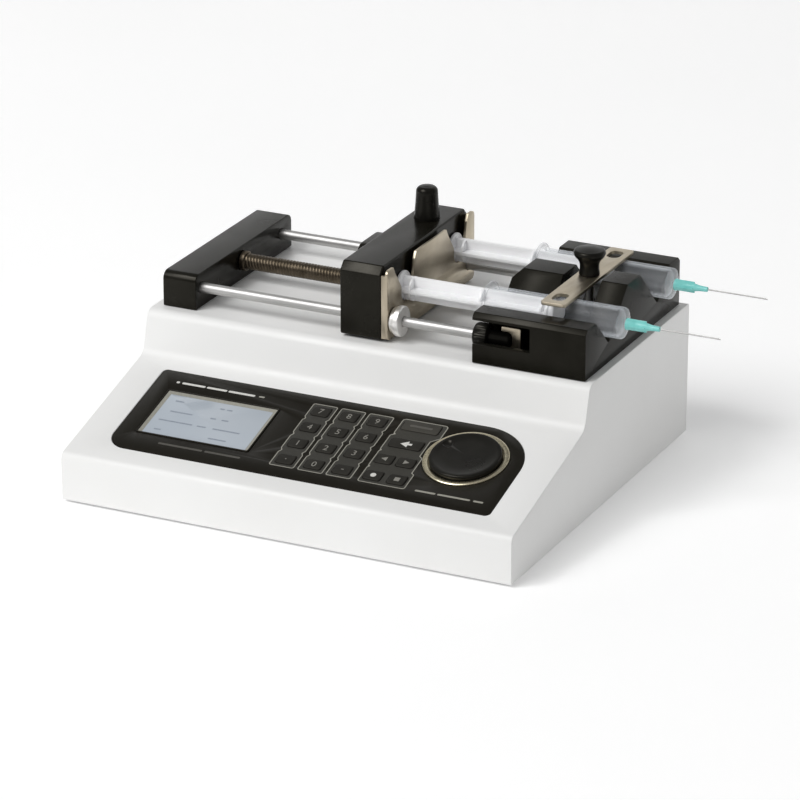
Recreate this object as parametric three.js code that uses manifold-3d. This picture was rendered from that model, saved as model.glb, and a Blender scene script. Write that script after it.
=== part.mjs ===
// Bench syringe pump with two loaded syringes, built as separate pieces.
// Millimetres, +Z up. X runs along the syringes, from the motor end to the needles.
// Pieces are laid out in the housing's own frame: X = 0 in the middle of the housing's width,
// Y = 0 at its front edge, Z = 0 at its lower edge. The last lines move everything so that the
// origin is under the middle of the whole object, on the surface that it stands on.

import * as THREE from 'three';
import { mergeVertices } from 'three/addons/utils/BufferGeometryUtils.js';
import Module from 'manifold-3d';

const wasm = await Module();
wasm.setup();

// ---------------------------------------------------------------- driving dimensions

const GAP = 0.3;                    // clearance between neighbouring pieces
const ROUND = 24;                   // sides of an ordinary round piece
const FINE = 40;                    // sides of a large round piece

const HOUSING = { width: 280, depth: 250, deck: 80, wall: 2.5 };
const SLOPE = { footZ: 28.1, headY: 98.3, headZ: 55.3 };
const DECK_FRONT_Y = 105.2;
const FOOT = { radius: 8, height: 4.2, drop: 1.5, insetX: 25, insetY: 22 };
const BASE = { z: 3, thickness: 1.5 };
const REAR = { y: 243.5, thickness: 2 };

const PANEL = { left: -119.5, right: 119.5, low: 15, high: 90.5, thickness: 1.2, proud: 0.1 };
const WINDOW = { left: -108, right: -36, low: 30.8, high: 73, border: 3 };
const KEY = { width: 10.6, height: 8.2, top: 0.7, bottom: -4.9, travel: 0.6 };
const KEY_ROWS = [77, 61.8, 46.2, 30.6];
const KEY_COLUMNS = [-12, 5.7, 23.3];
const DIAL = { x: 86.3, s: 59, radius: 20.6, ringInner: 21.3, ringOuter: 24.5 };
const BOARD = { top: -8, thickness: 1.6 };

const SHAFT = { z: 92, frontY: 122, screwY: 173, backY: 224, rodRadius: 3, screwRadius: 4.8 };
const ROD_END = { front: 82, back: 109.5 };
const END_BLOCK = { left: -134.3, right: -113, front: 114, back: 237, top: 101.3 };
const CARRIAGE = { left: -20, right: 6, front: 114.2, back: 231.8, bottom: 81.5, top: 125 };
const HOLDER = { left: 66, right: 135.5, front: 108, back: 245, wallTop: 110, ridgeTop: 118.3 };
const SYRINGE = { frontY: 140.6, backY: 211.4, z: 105.5, radius: 9.15, bore: 8.15 };
const BARREL = { left: 61.5, nose: 143, end: 145.2, flangeRadius: 11.8 };
const HUB = { start: 146.4, end: 166.8 };
const NEEDLE = { radius: 0.5, tip: 203.3 };
const PLATE = { thickness: 1.6, pocket: 2.6, top: 123.5 };
const CLUTCH = { x: -7, y: 203, top: 145.3 };
const CLAMP = { x: 108, y: 176, width: 15, front: 124, back: 224, z: 115.2, thickness: 2 };
const COLLAR = { left: 10.5, length: 6.4, radius: 9 };
const MOTOR = { z: 44, face: -112.2, length: 40, size: 42 };
const PULLEY = { left: -129.5, width: 8, radius: 5, flange: 6.2 };
const INLET = { x: 95, z: 40, width: 60, height: 30 };

// ---------------------------------------------------------------- finishes

function finish(color, roughness, metalness = 0) {
  return new THREE.MeshStandardMaterial({ color, roughness, metalness });
}

const whitePlastic = finish(0xecece9, 0.5);
const blackGloss = finish(0x232320, 0.25);
const blackPlastic = finish(0x1c1b19, 0.5);
const panelBlack = finish(0x1e1c18, 0.35);
const keyBlack = finish(0x2a2925, 0.55);
const brushedSteel = finish(0xbeb09b, 0.4, 0.9);
const polishedSteel = finish(0xc8c8c8, 0.2, 1);
const darkSteel = finish(0x4a443b, 0.35, 0.9);
const ringMetal = finish(0xc8c3a0, 0.3, 0.9);
const glass = finish(0xbec8d4, 0.15);
const clearPlastic = finish(0xdfe4ea, 0.2);
const whitePlunger = finish(0xf4f5f8, 0.35);
const hubTeal = finish(0x78d2cd, 0.35);
const rubber = finish(0x151515, 0.9);
const boardGreen = finish(0x1f5a3a, 0.6);
const zincPlate = finish(0xa9adb0, 0.45, 0.8);
const motorBlack = finish(0x26272a, 0.5, 0.3);

// ---------------------------------------------------------------- solids

// The geometry with shared corners merged and its collapsed triangles taken out.
function welded(geometry) {
  const copy = geometry.clone();
  for (const name of Object.keys(copy.attributes)) {
    if (name !== 'position') copy.deleteAttribute(name);
  }
  const merged = mergeVertices(copy, 1e-4);
  const kept = [];
  for (let i = 0; i < merged.index.count; i += 3) {
    const [a, b, c] = [0, 1, 2].map((k) => merged.index.getX(i + k));
    if (a !== b && b !== c && c !== a) kept.push(a, b, c);
  }
  merged.setIndex(kept);
  return merged;
}

function solid(geometry) {
  const merged = welded(geometry);
  return new wasm.Manifold(new wasm.Mesh({
    numProp: 3,
    vertProperties: new Float32Array(merged.attributes.position.array),
    triVerts: new Uint32Array(merged.index.array),
  }));
}

function geometryOf(manifold) {
  const mesh = manifold.getMesh();
  const geometry = new THREE.BufferGeometry();
  geometry.setAttribute('position', new THREE.BufferAttribute(mesh.vertProperties, 3));
  geometry.setIndex(Array.from(mesh.triVerts));
  geometry.computeVertexNormals();
  return geometry;
}

function join(first, ...others) {
  return geometryOf(others.reduce((sum, other) => sum.add(solid(other)), solid(first)));
}

function cut(body, ...tools) {
  return geometryOf(tools.reduce((rest, tool) => rest.subtract(solid(tool)), solid(body)));
}

// A box between two corners.
function block(x0, x1, y0, y1, z0, z1) {
  const box = new THREE.BoxGeometry(x1 - x0, y1 - y0, z1 - z0);
  return box.translate((x0 + x1) / 2, (y0 + y1) / 2, (z0 + z1) / 2);
}

// An outline whose corners, given as [u, v, radius], are rounded by arcs.
function rounded(corners, steps = 4) {
  const points = [];
  corners.forEach(([u, v, radius = 0], i) => {
    const here = new THREE.Vector2(u, v);
    const before = corners[(i + corners.length - 1) % corners.length];
    const after = corners[(i + 1) % corners.length];
    const back = new THREE.Vector2(before[0], before[1]).sub(here).normalize();
    const on = new THREE.Vector2(after[0], after[1]).sub(here).normalize();
    if (radius <= 0) {
      points.push(here);
      return;
    }
    const half = Math.acos(THREE.MathUtils.clamp(back.dot(on), -1, 1)) / 2;
    const middle = back.clone().add(on).normalize().multiplyScalar(radius / Math.sin(half)).add(here);
    const start = here.clone().addScaledVector(back, radius / Math.tan(half)).sub(middle);
    const end = here.clone().addScaledVector(on, radius / Math.tan(half)).sub(middle);
    const turn = Math.atan2(start.cross(end), start.dot(end));
    for (let k = 0; k <= steps; k += 1) {
      points.push(start.clone().rotateAround(new THREE.Vector2(), (turn * k) / steps).add(middle));
    }
  });
  return points;
}

function roundedRectangle(u0, u1, v0, v1, radius, steps = 3) {
  return rounded([[u0, v0, radius], [u1, v0, radius], [u1, v1, radius], [u0, v1, radius]], steps);
}

// The outline moved inwards by a distance; it runs anticlockwise.
function inset(corners, distance) {
  return corners.map(([u, v], i) => {
    const [pu, pv] = corners[(i + corners.length - 1) % corners.length];
    const [nu, nv] = corners[(i + 1) % corners.length];
    const a = new THREE.Vector2(u - pu, v - pv).normalize();
    const b = new THREE.Vector2(nu - u, nv - v).normalize();
    const bisector = new THREE.Vector2(-a.y - b.y, a.x + b.x).normalize();
    const reach = distance / bisector.dot(new THREE.Vector2(-a.y, a.x));
    return [u + bisector.x * reach, v + bisector.y * reach];
  });
}

const AXES = {
  x: new THREE.Matrix4().makeBasis(
    new THREE.Vector3(0, 1, 0), new THREE.Vector3(0, 0, 1), new THREE.Vector3(1, 0, 0)),
  y: new THREE.Matrix4().makeBasis(
    new THREE.Vector3(0, 0, 1), new THREE.Vector3(1, 0, 0), new THREE.Vector3(0, 1, 0)),
  z: new THREE.Matrix4(),
};

// A prism along an axis. Its outline is in (y, z) along x, (z, x) along y and (x, y) along z.
function prism(axis, outline, from, to, holes = [], bevel = 0) {
  const shape = new THREE.Shape(outline);
  holes.forEach((hole) => shape.holes.push(new THREE.Path(hole)));
  const geometry = new THREE.ExtrudeGeometry(shape, {
    depth: to - from - 2 * bevel,
    bevelEnabled: bevel > 0,
    bevelThickness: bevel,
    bevelSize: bevel,
    bevelOffset: -bevel,
    bevelSegments: 1,
  });
  geometry.translate(0, 0, from + bevel);
  return geometry.applyMatrix4(AXES[axis]);
}

// A body of revolution: the profile's points are [radius, distance along the axis].
function turned(axis, profile, u = 0, v = 0, sides = ROUND) {
  const points = profile.map(([radius, along]) => new THREE.Vector2(radius, along));
  const geometry = new THREE.LatheGeometry(points, sides);
  geometry.rotateX(Math.PI / 2);
  geometry.translate(u, v, 0);
  return geometry.applyMatrix4(AXES[axis]);
}

function cylinder(axis, radius, from, to, u = 0, v = 0, sides = ROUND) {
  return turned(axis, [[0, from], [radius, from], [radius, to], [0, to]], u, v, sides);
}

function piece(name, geometry, material) {
  const mesh = new THREE.Mesh(geometry, material);
  mesh.name = name;
  return mesh;
}

const pump = new THREE.Group();
const body = new THREE.Group();
const panel = new THREE.Group();
body.add(panel);
pump.add(body);

// The control panel's frame: x across, y up the slope, z out of it.
const slopeAngle = Math.atan2(SLOPE.headZ - SLOPE.footZ, SLOPE.headY);
panel.position.set(0, 0, SLOPE.footZ);
panel.rotation.x = slopeAngle;
panel.updateMatrix();

function onPanel(geometry) {
  return geometry.clone().applyMatrix4(panel.matrix);
}

// ---------------------------------------------------------------- housing

const halfWidth = HOUSING.width / 2;
const innerHalf = halfWidth - HOUSING.wall;
const innerDeck = HOUSING.deck - HOUSING.wall;

const panelCorners = [
  [PANEL.left, PANEL.low, 12],
  [PANEL.right, PANEL.low, 3],
  [PANEL.right, PANEL.high, 33],
  [PANEL.left, PANEL.high, 3],
];

// The panel's outline, grown or shrunk all round.
function panelOutline(grow) {
  const signs = [[-1, -1], [1, -1], [1, 1], [-1, 1]];
  return rounded(panelCorners.map(([x, s, radius], i) => (
    [x + signs[i][0] * grow, s + signs[i][1] * grow, Math.max(radius + grow, 0.5)])), 8);
}

function housingShell() {
  const outer = [
    [0, 0, 1],
    [HOUSING.depth, 0, 0.8],
    [HOUSING.depth, HOUSING.deck, 2],
    [DECK_FRONT_Y, HOUSING.deck, 6.5],
    [SLOPE.headY, SLOPE.headZ, 8],
    [0, SLOPE.footZ, 5],
  ];
  const beyond = HOUSING.wall + 1;
  const open = outer.map(([y, z]) => [y > HOUSING.depth - 1 ? y + beyond : y, z < 1 ? z - beyond : z]);
  const floorless = inset(open, HOUSING.wall);
  const shell = prism('x', rounded(outer, 6), -halfWidth, halfWidth);
  const hollow = prism('x', rounded(floorless.map(([y, z], i) => [y, z, outer[i][2] > 4 ? 4 : 0]), 4),
    -innerHalf, innerHalf);
  const seat = onPanel(prism('z', panelOutline(GAP), -PANEL.thickness + PANEL.proud - GAP, 6));
  const opening = onPanel(prism('z', panelOutline(-3), -7, 6));
  const beltSlot = block(-131, -116, 161, 185, innerDeck - 1, HOUSING.deck + 1);
  return cut(shell, hollow, seat, opening, beltSlot);
}

function basePlate() {
  const outline = roundedRectangle(-innerHalf + GAP, innerHalf - GAP,
    HOUSING.wall + GAP, HOUSING.depth - HOUSING.wall, 2, 2);
  return prism('z', outline, BASE.z, BASE.z + BASE.thickness);
}

function foot() {
  const low = -FOOT.drop;
  const profile = [[0, low], [FOOT.radius - 0.8, low], [FOOT.radius, low + 0.8],
    [FOOT.radius, low + FOOT.height], [0, low + FOOT.height]];
  return turned('z', profile, 0, 0, 24);
}

const inletWindow = [INLET.x - INLET.width / 2 + 1.2, INLET.x + INLET.width / 2 - 1.2];
const inletHeights = [INLET.z - INLET.height / 2 + 1.2, INLET.z + INLET.height / 2 - 1.2];

function rearPanel() {
  const plate = block(-innerHalf + GAP, innerHalf - GAP, REAR.y, REAR.y + REAR.thickness,
    BASE.z + BASE.thickness + GAP, innerDeck - GAP);
  const window = block(...inletWindow, REAR.y - 1, REAR.y + REAR.thickness + 1, ...inletHeights);
  return cut(plate, window);
}

// The mains inlet: a flanged housing with a three-pin socket and a well for the rocker.
const socket = { left: INLET.x - 26, right: INLET.x - 2, low: INLET.z - 8, high: INLET.z + 8 };
const rocker = { x: INLET.x + 15, halfWidth: 6.5, halfHeight: 9.5, pivotY: 243.6 };

function powerEntry() {
  const face = REAR.y + REAR.thickness + GAP;
  const flange = prism('y', roundedRectangle(INLET.z - INLET.height / 2, INLET.z + INLET.height / 2,
    INLET.x - INLET.width / 2, INLET.x + INLET.width / 2, 2), face, face + 2);
  const can = block(inletWindow[0] + GAP, inletWindow[1] - GAP, REAR.y - 19, face + 1,
    inletHeights[0] + GAP, inletHeights[1] - GAP);
  const recess = prism('y', rounded([[socket.low, socket.left, 1], [socket.high, socket.left, 5],
    [socket.high, socket.right, 5], [socket.low, socket.right, 1]], 3), face - 14, face + 3);
  const well = block(rocker.x - rocker.halfWidth - GAP, rocker.x + rocker.halfWidth + GAP,
    REAR.y - 9, face + 3, INLET.z - rocker.halfHeight - GAP, INLET.z + rocker.halfHeight + GAP);
  const middle = (socket.left + socket.right) / 2;
  const pins = [[-7, -1.5], [0, 2.5], [7, -1.5]].map(([dx, dz]) => (
    block(middle + dx - 1, middle + dx + 1, face - 15, face - 6, INLET.z + dz - 2, INLET.z + dz + 2)));
  return join(cut(join(flange, can), recess, well), ...pins);
}

// The rocker leans one way at rest; its back is a round hub about the pivot.
function switchRocker() {
  const lean = THREE.MathUtils.degToRad(8);
  const profile = rounded([[-9, -1.5, 0.5], [9, -1.5, 0.5], [9, 3.4, 0.6], [0, 1.6, 4], [-9, 3.4, 0.6]], 2)
    .map((point) => new THREE.Vector2(point.y, point.x).rotateAround(new THREE.Vector2(), lean));
  const outline = profile.reverse().map((p) => new THREE.Vector2(p.x + rocker.pivotY, p.y + INLET.z));
  return prism('x', outline, rocker.x - rocker.halfWidth + GAP, rocker.x + rocker.halfWidth - GAP);
}

body.add(
  piece('housing_shell', housingShell(), whitePlastic),
  piece('base_plate', basePlate(), zincPlate),
  piece('rear_panel', rearPanel(), zincPlate),
  piece('power_entry', powerEntry(), blackPlastic),
  piece('switch_rocker', switchRocker(), blackGloss),
);
for (const [side, x] of [['left', -halfWidth + FOOT.insetX], ['right', halfWidth - FOOT.insetX]]) {
  for (const [end, y] of [['front', FOOT.insetY], ['back', HOUSING.depth - FOOT.insetY]]) {
    const mesh = piece(`foot_${end}_${side}`, foot(), rubber);
    mesh.position.set(x, y, 0);
    body.add(mesh);
  }
}

// ---------------------------------------------------------------- control panel

// Every key as [name, x, s, width]; the three left columns hold four keys each.
const keys = [];
KEY_COLUMNS.forEach((x, column) => KEY_ROWS.forEach((s, row) => {
  keys.push([`key_${column + 1}_${row + 1}`, x, s, KEY.width]);
}));
keys.push(['key_wide', 50, KEY_ROWS[0] + 1.6, 23], ['key_arrow', 48.2, KEY_ROWS[1] + 0.4, 20]);
keys.push(['key_4_3', 42.2, KEY_ROWS[2], KEY.width], ['key_5_3', 55.4, KEY_ROWS[2], KEY.width]);
keys.push(['key_4_4', 42.4, KEY_ROWS[3], KEY.width], ['key_5_4', 57, KEY_ROWS[3], KEY.width]);

function keyOutline(x, s, width, grow) {
  return roundedRectangle(x - width / 2 - grow, x + width / 2 + grow,
    s - KEY.height / 2 - grow, s + KEY.height / 2 + grow, 1.4 + grow, 2);
}

function frontOverlay() {
  const windowHole = roundedRectangle(WINDOW.left - GAP, WINDOW.right + GAP,
    WINDOW.low - GAP, WINDOW.high + GAP, 1.5, 2);
  const dialRim = new THREE.Path().absarc(DIAL.x, DIAL.s, DIAL.ringOuter + GAP, 0, 2 * Math.PI);
  const dialHole = dialRim.getPoints(FINE);
  dialHole.pop();
  const keyHoles = keys.map(([, x, s, width]) => keyOutline(x, s, width, GAP));
  return prism('z', panelOutline(0), PANEL.proud - PANEL.thickness, PANEL.proud,
    [windowHole, dialHole, ...keyHoles]);
}

// The display's raised frame with its glass, which lies lower.
function displayWindow() {
  const frame = prism('z', roundedRectangle(WINDOW.left, WINDOW.right, WINDOW.low, WINDOW.high, 1.2, 2),
    -2.6, 0.5);
  const sunk = prism('z', roundedRectangle(WINDOW.left + WINDOW.border, WINDOW.right - WINDOW.border,
    WINDOW.low + WINDOW.border, WINDOW.high - WINDOW.border, 0.8, 2), -0.4, 2);
  return cut(frame, sunk);
}

function dialRing() {
  const { ringInner, ringOuter } = DIAL;
  const profile = [[3.4, -3.1], [ringOuter, -3.1], [ringOuter, 0.6], [ringOuter - 0.6, 1],
    [ringInner, 1], [ringInner, -1.6], [3.4, -1.6], [3.4, -3.1]];
  return turned('z', profile, 0, 0, FINE);
}

// A flat dial with a dished face, a finger dimple and a spindle.
function dialKnob() {
  const radius = DIAL.radius;
  const profile = [[0, -6.5], [3, -6.5], [3, -1.2], [radius, -1.2], [radius, 2.5], [radius - 1.1, 3.4],
    [radius - 3, 3.4], [radius * 0.6, 3.1], [0, 3]];
  const dimple = new THREE.SphereGeometry(5, 16, 10).translate(-13.6, 6.8, 6.9);
  return cut(turned('z', profile, 0, 0, FINE), dimple);
}

// The board carries the display module, the keys' switch strips and the dial's encoder.
function controlBoard() {
  const { top, thickness } = BOARD;
  const board = block(-117, 115, 17, 88, top - thickness, top);
  const display = block(WINDOW.left - 2, WINDOW.right + 2, WINDOW.low - 2, WINDOW.high + 2, top - 0.5, -3);
  const strips = [...KEY_COLUMNS, 42.3, 56].map((x) => (
    block(x - 3, x + 3, KEY_ROWS[3] - 3, KEY_ROWS[0] + 3, top - 0.5, KEY.bottom - KEY.travel - 0.1)));
  const encoder = block(DIAL.x - 7, DIAL.x + 7, DIAL.s - 7, DIAL.s + 7, top - 0.5, -3.6);
  const spindleHole = cylinder('z', 3.3, top + 0.6, 0, DIAL.x, DIAL.s);
  return cut(join(board, display, ...strips, encoder), spindleHole);
}

panel.add(
  piece('front_overlay', frontOverlay(), panelBlack),
  piece('display_window', displayWindow(), glass),
  piece('control_board', controlBoard(), boardGreen),
);
const ring = piece('dial_ring', dialRing(), ringMetal);
const dial = piece('dial_knob', dialKnob(), blackGloss);
ring.position.set(DIAL.x, DIAL.s, 0);
dial.position.set(DIAL.x, DIAL.s, 0);
panel.add(ring, dial);
for (const [name, x, s, width] of keys) {
  panel.add(piece(name, prism('z', keyOutline(x, s, width, 0), KEY.bottom, KEY.top), keyBlack));
}

// ---------------------------------------------------------------- power supply and drive

const floorTop = BASE.z + BASE.thickness + GAP;

function powerSupply() {
  const can = block(10, 120, 150, 215, floorTop, 42);
  const terminals = block(20, 60, 214, 222, floorTop, 20);
  return join(can, terminals);
}

function motorBracket() {
  const wall = block(-115.2, -112.7, 148, 198, floorTop, 68);
  const ledge = block(-113, -88, 148, 198, floorTop, floorTop + 2.5);
  return cut(join(wall, ledge), cylinder('x', 11.4, -117, -111, SHAFT.screwY, MOTOR.z));
}

function stepperMotor() {
  const half = MOTOR.size / 2;
  const outline = rounded([[SHAFT.screwY - half, MOTOR.z - half, 4], [SHAFT.screwY + half, MOTOR.z - half, 4],
    [SHAFT.screwY + half, MOTOR.z + half, 4], [SHAFT.screwY - half, MOTOR.z + half, 4]], 2);
  const can = prism('x', outline, MOTOR.face, MOTOR.face + MOTOR.length);
  const pilot = cylinder('x', 11, MOTOR.face - 1.8, MOTOR.face + 1, SHAFT.screwY, MOTOR.z);
  const shaftHole = cylinder('x', 2.8, MOTOR.face - 4, MOTOR.face + 16, SHAFT.screwY, MOTOR.z);
  return cut(join(can, pilot), shaftHole);
}

// A flanged belt pulley about the X axis, either on a shaft of its own or bored.
function pulleyProfile(inner) {
  const { left, width, radius, flange } = PULLEY;
  const right = left + width;
  return [[inner, left], [flange, left], [flange, left + 0.8], [radius, left + 0.8],
    [radius, right - 0.8], [flange, right - 0.8], [flange, right]];
}

function motorPulley() {
  const profile = [...pulleyProfile(0), [2.5, PULLEY.left + PULLEY.width], [2.5, MOTOR.face + 15],
    [0, MOTOR.face + 15]];
  return turned('x', profile, SHAFT.screwY, MOTOR.z);
}

function screwPulley() {
  const profile = pulleyProfile(3.3);
  return turned('x', [...profile, [3.3, PULLEY.left + PULLEY.width], profile[0]], SHAFT.screwY, SHAFT.z);
}

function driveBelt() {
  const inner = PULLEY.radius + GAP;
  const loop = (radius) => rounded([
    [SHAFT.screwY - radius, MOTOR.z - radius, radius], [SHAFT.screwY + radius, MOTOR.z - radius, radius],
    [SHAFT.screwY + radius, SHAFT.z + radius, radius], [SHAFT.screwY - radius, SHAFT.z + radius, radius]], 8);
  return prism('x', loop(inner + 1.2), PULLEY.left + 1.2, PULLEY.left + PULLEY.width - 1.2, [loop(inner)]);
}

// The lead screw: a journal in the pulley, a bright collar, the threaded length and a far journal.
function leadScrew() {
  const { screwRadius, screwY, z } = SHAFT;
  const profile = [[0, PULLEY.left + 0.3], [3, PULLEY.left + 0.3], [3, -112.6], [6, -112.6], [6, -109.4],
    [screwRadius, -109.4], [screwRadius, 64.6], [3, 65.6], [3, 76.5], [0, 76.5]];
  return turned('x', profile, screwY, z);
}

function endBlock() {
  const { left, right, front, back, top } = END_BLOCK;
  const bottom = HOUSING.deck + GAP;
  const outline = rounded([[front, bottom], [back, bottom], [back, top, 5], [front, top, 5]], 5);
  const chamber = block(left + 3, right - 3, 161, 185, bottom - 1, top - 2);
  const rods = [SHAFT.frontY, SHAFT.backY].map((y) => (
    cylinder('x', SHAFT.rodRadius + GAP, left + 7, right + 1, y, SHAFT.z)));
  const screwBore = cylinder('x', 3.4, right - 5, right + 1, SHAFT.screwY, SHAFT.z);
  return cut(prism('x', outline, left, right, [], 0.6), chamber, ...rods, screwBore);
}

function guideRod(y, end) {
  const ends = [END_BLOCK.left + 7.4, end];
  const r = SHAFT.rodRadius;
  return turned('x', [[0, ends[0]], [r, ends[0]], [r, ends[1]], [0, ends[1]]], y, SHAFT.z);
}

body.add(
  piece('power_supply', powerSupply(), zincPlate),
  piece('motor_bracket', motorBracket(), zincPlate),
  piece('stepper_motor', stepperMotor(), motorBlack),
  piece('motor_pulley', motorPulley(), polishedSteel),
  piece('screw_pulley', screwPulley(), polishedSteel),
  piece('drive_belt', driveBelt(), rubber),
  piece('lead_screw', leadScrew(), darkSteel),
  piece('end_block', endBlock(), blackGloss),
  piece('guide_rod_front', guideRod(SHAFT.frontY, ROD_END.front), polishedSteel),
  piece('guide_rod_back', guideRod(SHAFT.backY, ROD_END.back), polishedSteel),
);

// ---------------------------------------------------------------- carriage

function carriage() {
  const { left, right, front, back, bottom, top } = CARRIAGE;
  const outline = [[front, bottom], [back, bottom], [back, top - 4.5], [back - 4.5, top],
    [front + 4.5, top], [front, top - 4.7]];
  const block1 = prism('x', rounded(outline.map(([y, z]) => [y, z, 0.8]), 2), left, right, [], 0.8);
  const bossOutline = rounded([[158, bottom, 1], [190, bottom, 1], [190, 119, 6], [158, 119, 6]], 4);
  const boss = prism('x', bossOutline, left - 11, left + 1, [], 0.8);
  const nutSpace = block(-14, 0, 162, 212, bottom - 1, 97.5);
  const rods = [SHAFT.frontY, SHAFT.backY].map((y) => (
    cylinder('x', SHAFT.rodRadius + GAP, left - 1, right + 1, y, SHAFT.z)));
  const screwBore = cylinder('x', 5.8, left - 12, right + 1, SHAFT.screwY, SHAFT.z);
  const knobWell = cylinder('z', 7.7, 111, top + 1, CLUTCH.x, CLUTCH.y);
  const stemHole = cylinder('z', 3.4, 96, 112, CLUTCH.x, CLUTCH.y);
  return cut(join(block1, boss), nutSpace, ...rods, screwBore, knobWell, stemHole);
}

// The bar that the release knob pushes down; its hollow holds the lower half of the thread.
function halfNut() {
  const bar = block(-12, -2, 164, 210, 84.3, SHAFT.z - 0.1);
  return cut(bar, cylinder('x', SHAFT.screwRadius + GAP, -13, -1, SHAFT.screwY, SHAFT.z));
}

function clutchKnob() {
  const low = CARRIAGE.top - 3;
  const profile = [[0, SHAFT.z + 0.2], [3, SHAFT.z + 0.2], [3, low], [7.3, low], [7.45, 127.5], [6.9, 134],
    [6.5, 141], [6.2, 143.2], [5.2, 144.6], [3, CLUTCH.top - 0.1], [0, CLUTCH.top]];
  return turned('z', profile, CLUTCH.x, CLUTCH.y);
}

function clutchSpring() {
  const coils = 5;
  const [low, high] = [111 + GAP, CARRIAGE.top - 3 - GAP];
  const wire = 0.5;
  class Helix extends THREE.Curve {
    getPoint(t) {
      const turn = 2 * Math.PI * coils * t;
      const z = low + wire + (high - low - 2 * wire) * t;
      return new THREE.Vector3(CLUTCH.x + 5 * Math.cos(turn), CLUTCH.y + 5 * Math.sin(turn), z);
    }
  }
  const section = new THREE.Path().absarc(0, 0, wire, 0, 2 * Math.PI).getPoints(5);
  section.pop();
  return new THREE.ExtrudeGeometry(new THREE.Shape(section), {
    steps: coils * 12, extrudePath: new Helix(), bevelEnabled: false,
  });
}

const plateLeft = CARRIAGE.right + PLATE.pocket;
const plateRight = plateLeft + PLATE.thickness;

// The steel plate that holds the plungers' heads: edges folded back, and a notch for each rod.
function plungerPlate() {
  const { front, back, bottom } = CARRIAGE;
  const face = prism('x', rounded([[front, bottom, 1], [back, bottom, 1], [back, PLATE.top, 3],
    [front, PLATE.top, 3]], 3), plateLeft, plateRight);
  const folds = [front, back - PLATE.thickness].map((y) => (
    block(CARRIAGE.right + GAP, plateLeft + 0.5, y, y + PLATE.thickness, bottom + 1, PLATE.top - 3)));
  const notches = [SYRINGE.frontY, SYRINGE.backY].map((y) => prism('x', rounded([
    [y + 7.8, SYRINGE.z - 7.8, 7], [y + 7.8, SYRINGE.z + 3, 2], [y + 10, PLATE.top - 4, 3],
    [y + 14, PLATE.top + 3], [y - 20, PLATE.top + 3], [y - 16, PLATE.top - 4, 3],
    [y - 7.8, SYRINGE.z + 3, 2], [y - 7.8, SYRINGE.z - 7.8, 7]], 4), plateLeft - 1, plateRight + 1));
  const holes = [[SHAFT.frontY, 3.6], [SHAFT.screwY, 5.6], [SHAFT.backY, 3.6]].map(([y, radius]) => (
    cylinder('x', radius, plateLeft - 1, plateRight + 1, y, SHAFT.z)));
  return cut(join(face, ...folds), ...notches, ...holes);
}

body.add(
  piece('carriage', carriage(), blackGloss),
  piece('half_nut', halfNut(), ringMetal),
  piece('clutch_knob', clutchKnob(), blackPlastic),
  piece('clutch_spring', clutchSpring(), polishedSteel),
  piece('plunger_plate', plungerPlate(), brushedSteel),
);

// ---------------------------------------------------------------- stop collar on the front rod

function stopCollar() {
  const { left, length, radius } = COLLAR;
  const right = left + length;
  const profile = [[3.3, left], [radius - 2, left], [radius - 1.4, left + 0.6], [radius - 1.4, left + 2.4],
    [radius - 0.6, left + 2.4], [radius, left + 3], [radius, right - 0.8], [radius - 0.8, right],
    [3.3, right], [3.3, left]];
  const screwHole = cylinder('z', 1.6, 2, radius + 2, 0, 0, 12);
  screwHole.rotateX(Math.PI / 4).translate(left + length / 2, SHAFT.frontY, SHAFT.z);
  return cut(turned('x', profile, SHAFT.frontY, SHAFT.z, FINE), screwHole);
}

body.add(piece('stop_collar', stopCollar(), polishedSteel));

// ---------------------------------------------------------------- syringe holder

const grooveApex = SYRINGE.z - (SYRINGE.radius + GAP) * Math.SQRT2;
const SLOT = { left: 96, right: 119.5, floor: 102 };
const POCKET = { right: 101.3, lip: 112.5, back: 130.6, low: 83, sill: 91.5, high: 105.8, ceiling: 99.8 };
const NUT = { left: 62, shoulder: 71.6, right: 84, headRadius: 7.2, neckRadius: 4.1 };

// A block with a V groove for each syringe, a ridge between them and a cross slot for the clamp.
function holderBlock() {
  const { left, right, front, back, wallTop, ridgeTop } = HOLDER;
  const bottom = HOUSING.deck + GAP;
  const rise = wallTop - grooveApex;
  const climb = ridgeTop - grooveApex;
  const outline = rounded([
    [front, bottom], [back, bottom], [back, wallTop - 2.6, 0.8], [back - 2.6, wallTop, 0.8],
    [SYRINGE.backY + rise, wallTop, 0.6], [SYRINGE.backY, grooveApex, 1.5],
    [SYRINGE.backY - climb, ridgeTop, 1], [SYRINGE.frontY + climb, ridgeTop, 1],
    [SYRINGE.frontY, grooveApex, 1.5], [SYRINGE.frontY - rise, wallTop, 0.6],
    [front + 2.6, wallTop, 0.8], [front, wallTop - 2.6, 0.8]], 2);
  const slot = block(SLOT.left, SLOT.right, SYRINGE.frontY, SYRINGE.backY, SLOT.floor, ridgeTop + 1);
  const nutSpace = block(left - 1, POCKET.right, POCKET.lip, POCKET.back, POCKET.low, POCKET.ceiling);
  const mouth = block(left - 1, POCKET.right, front - 1, SHAFT.frontY, POCKET.sill, POCKET.high);
  const ridgeEnd = prism('y', rounded([[ridgeTop - 6, left - 1], [ridgeTop + 1, left - 1],
    [ridgeTop + 1, left + 6]]), SYRINGE.frontY, SYRINGE.backY);
  const rodBore = cylinder('x', SHAFT.rodRadius + GAP, left - 1, ROD_END.back + 0.5, SHAFT.backY, SHAFT.z);
  const screwBore = cylinder('x', 3.4, left - 1, 77, SHAFT.screwY, SHAFT.z);
  const postHole = cylinder('z', 3.4, 88, SLOT.floor + 1, CLAMP.x, CLAMP.y);
  return cut(prism('x', outline, left, right, [], 0.6), slot, nutSpace, mouth, ridgeEnd, rodBore,
    screwBore, postHole);
}

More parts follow.
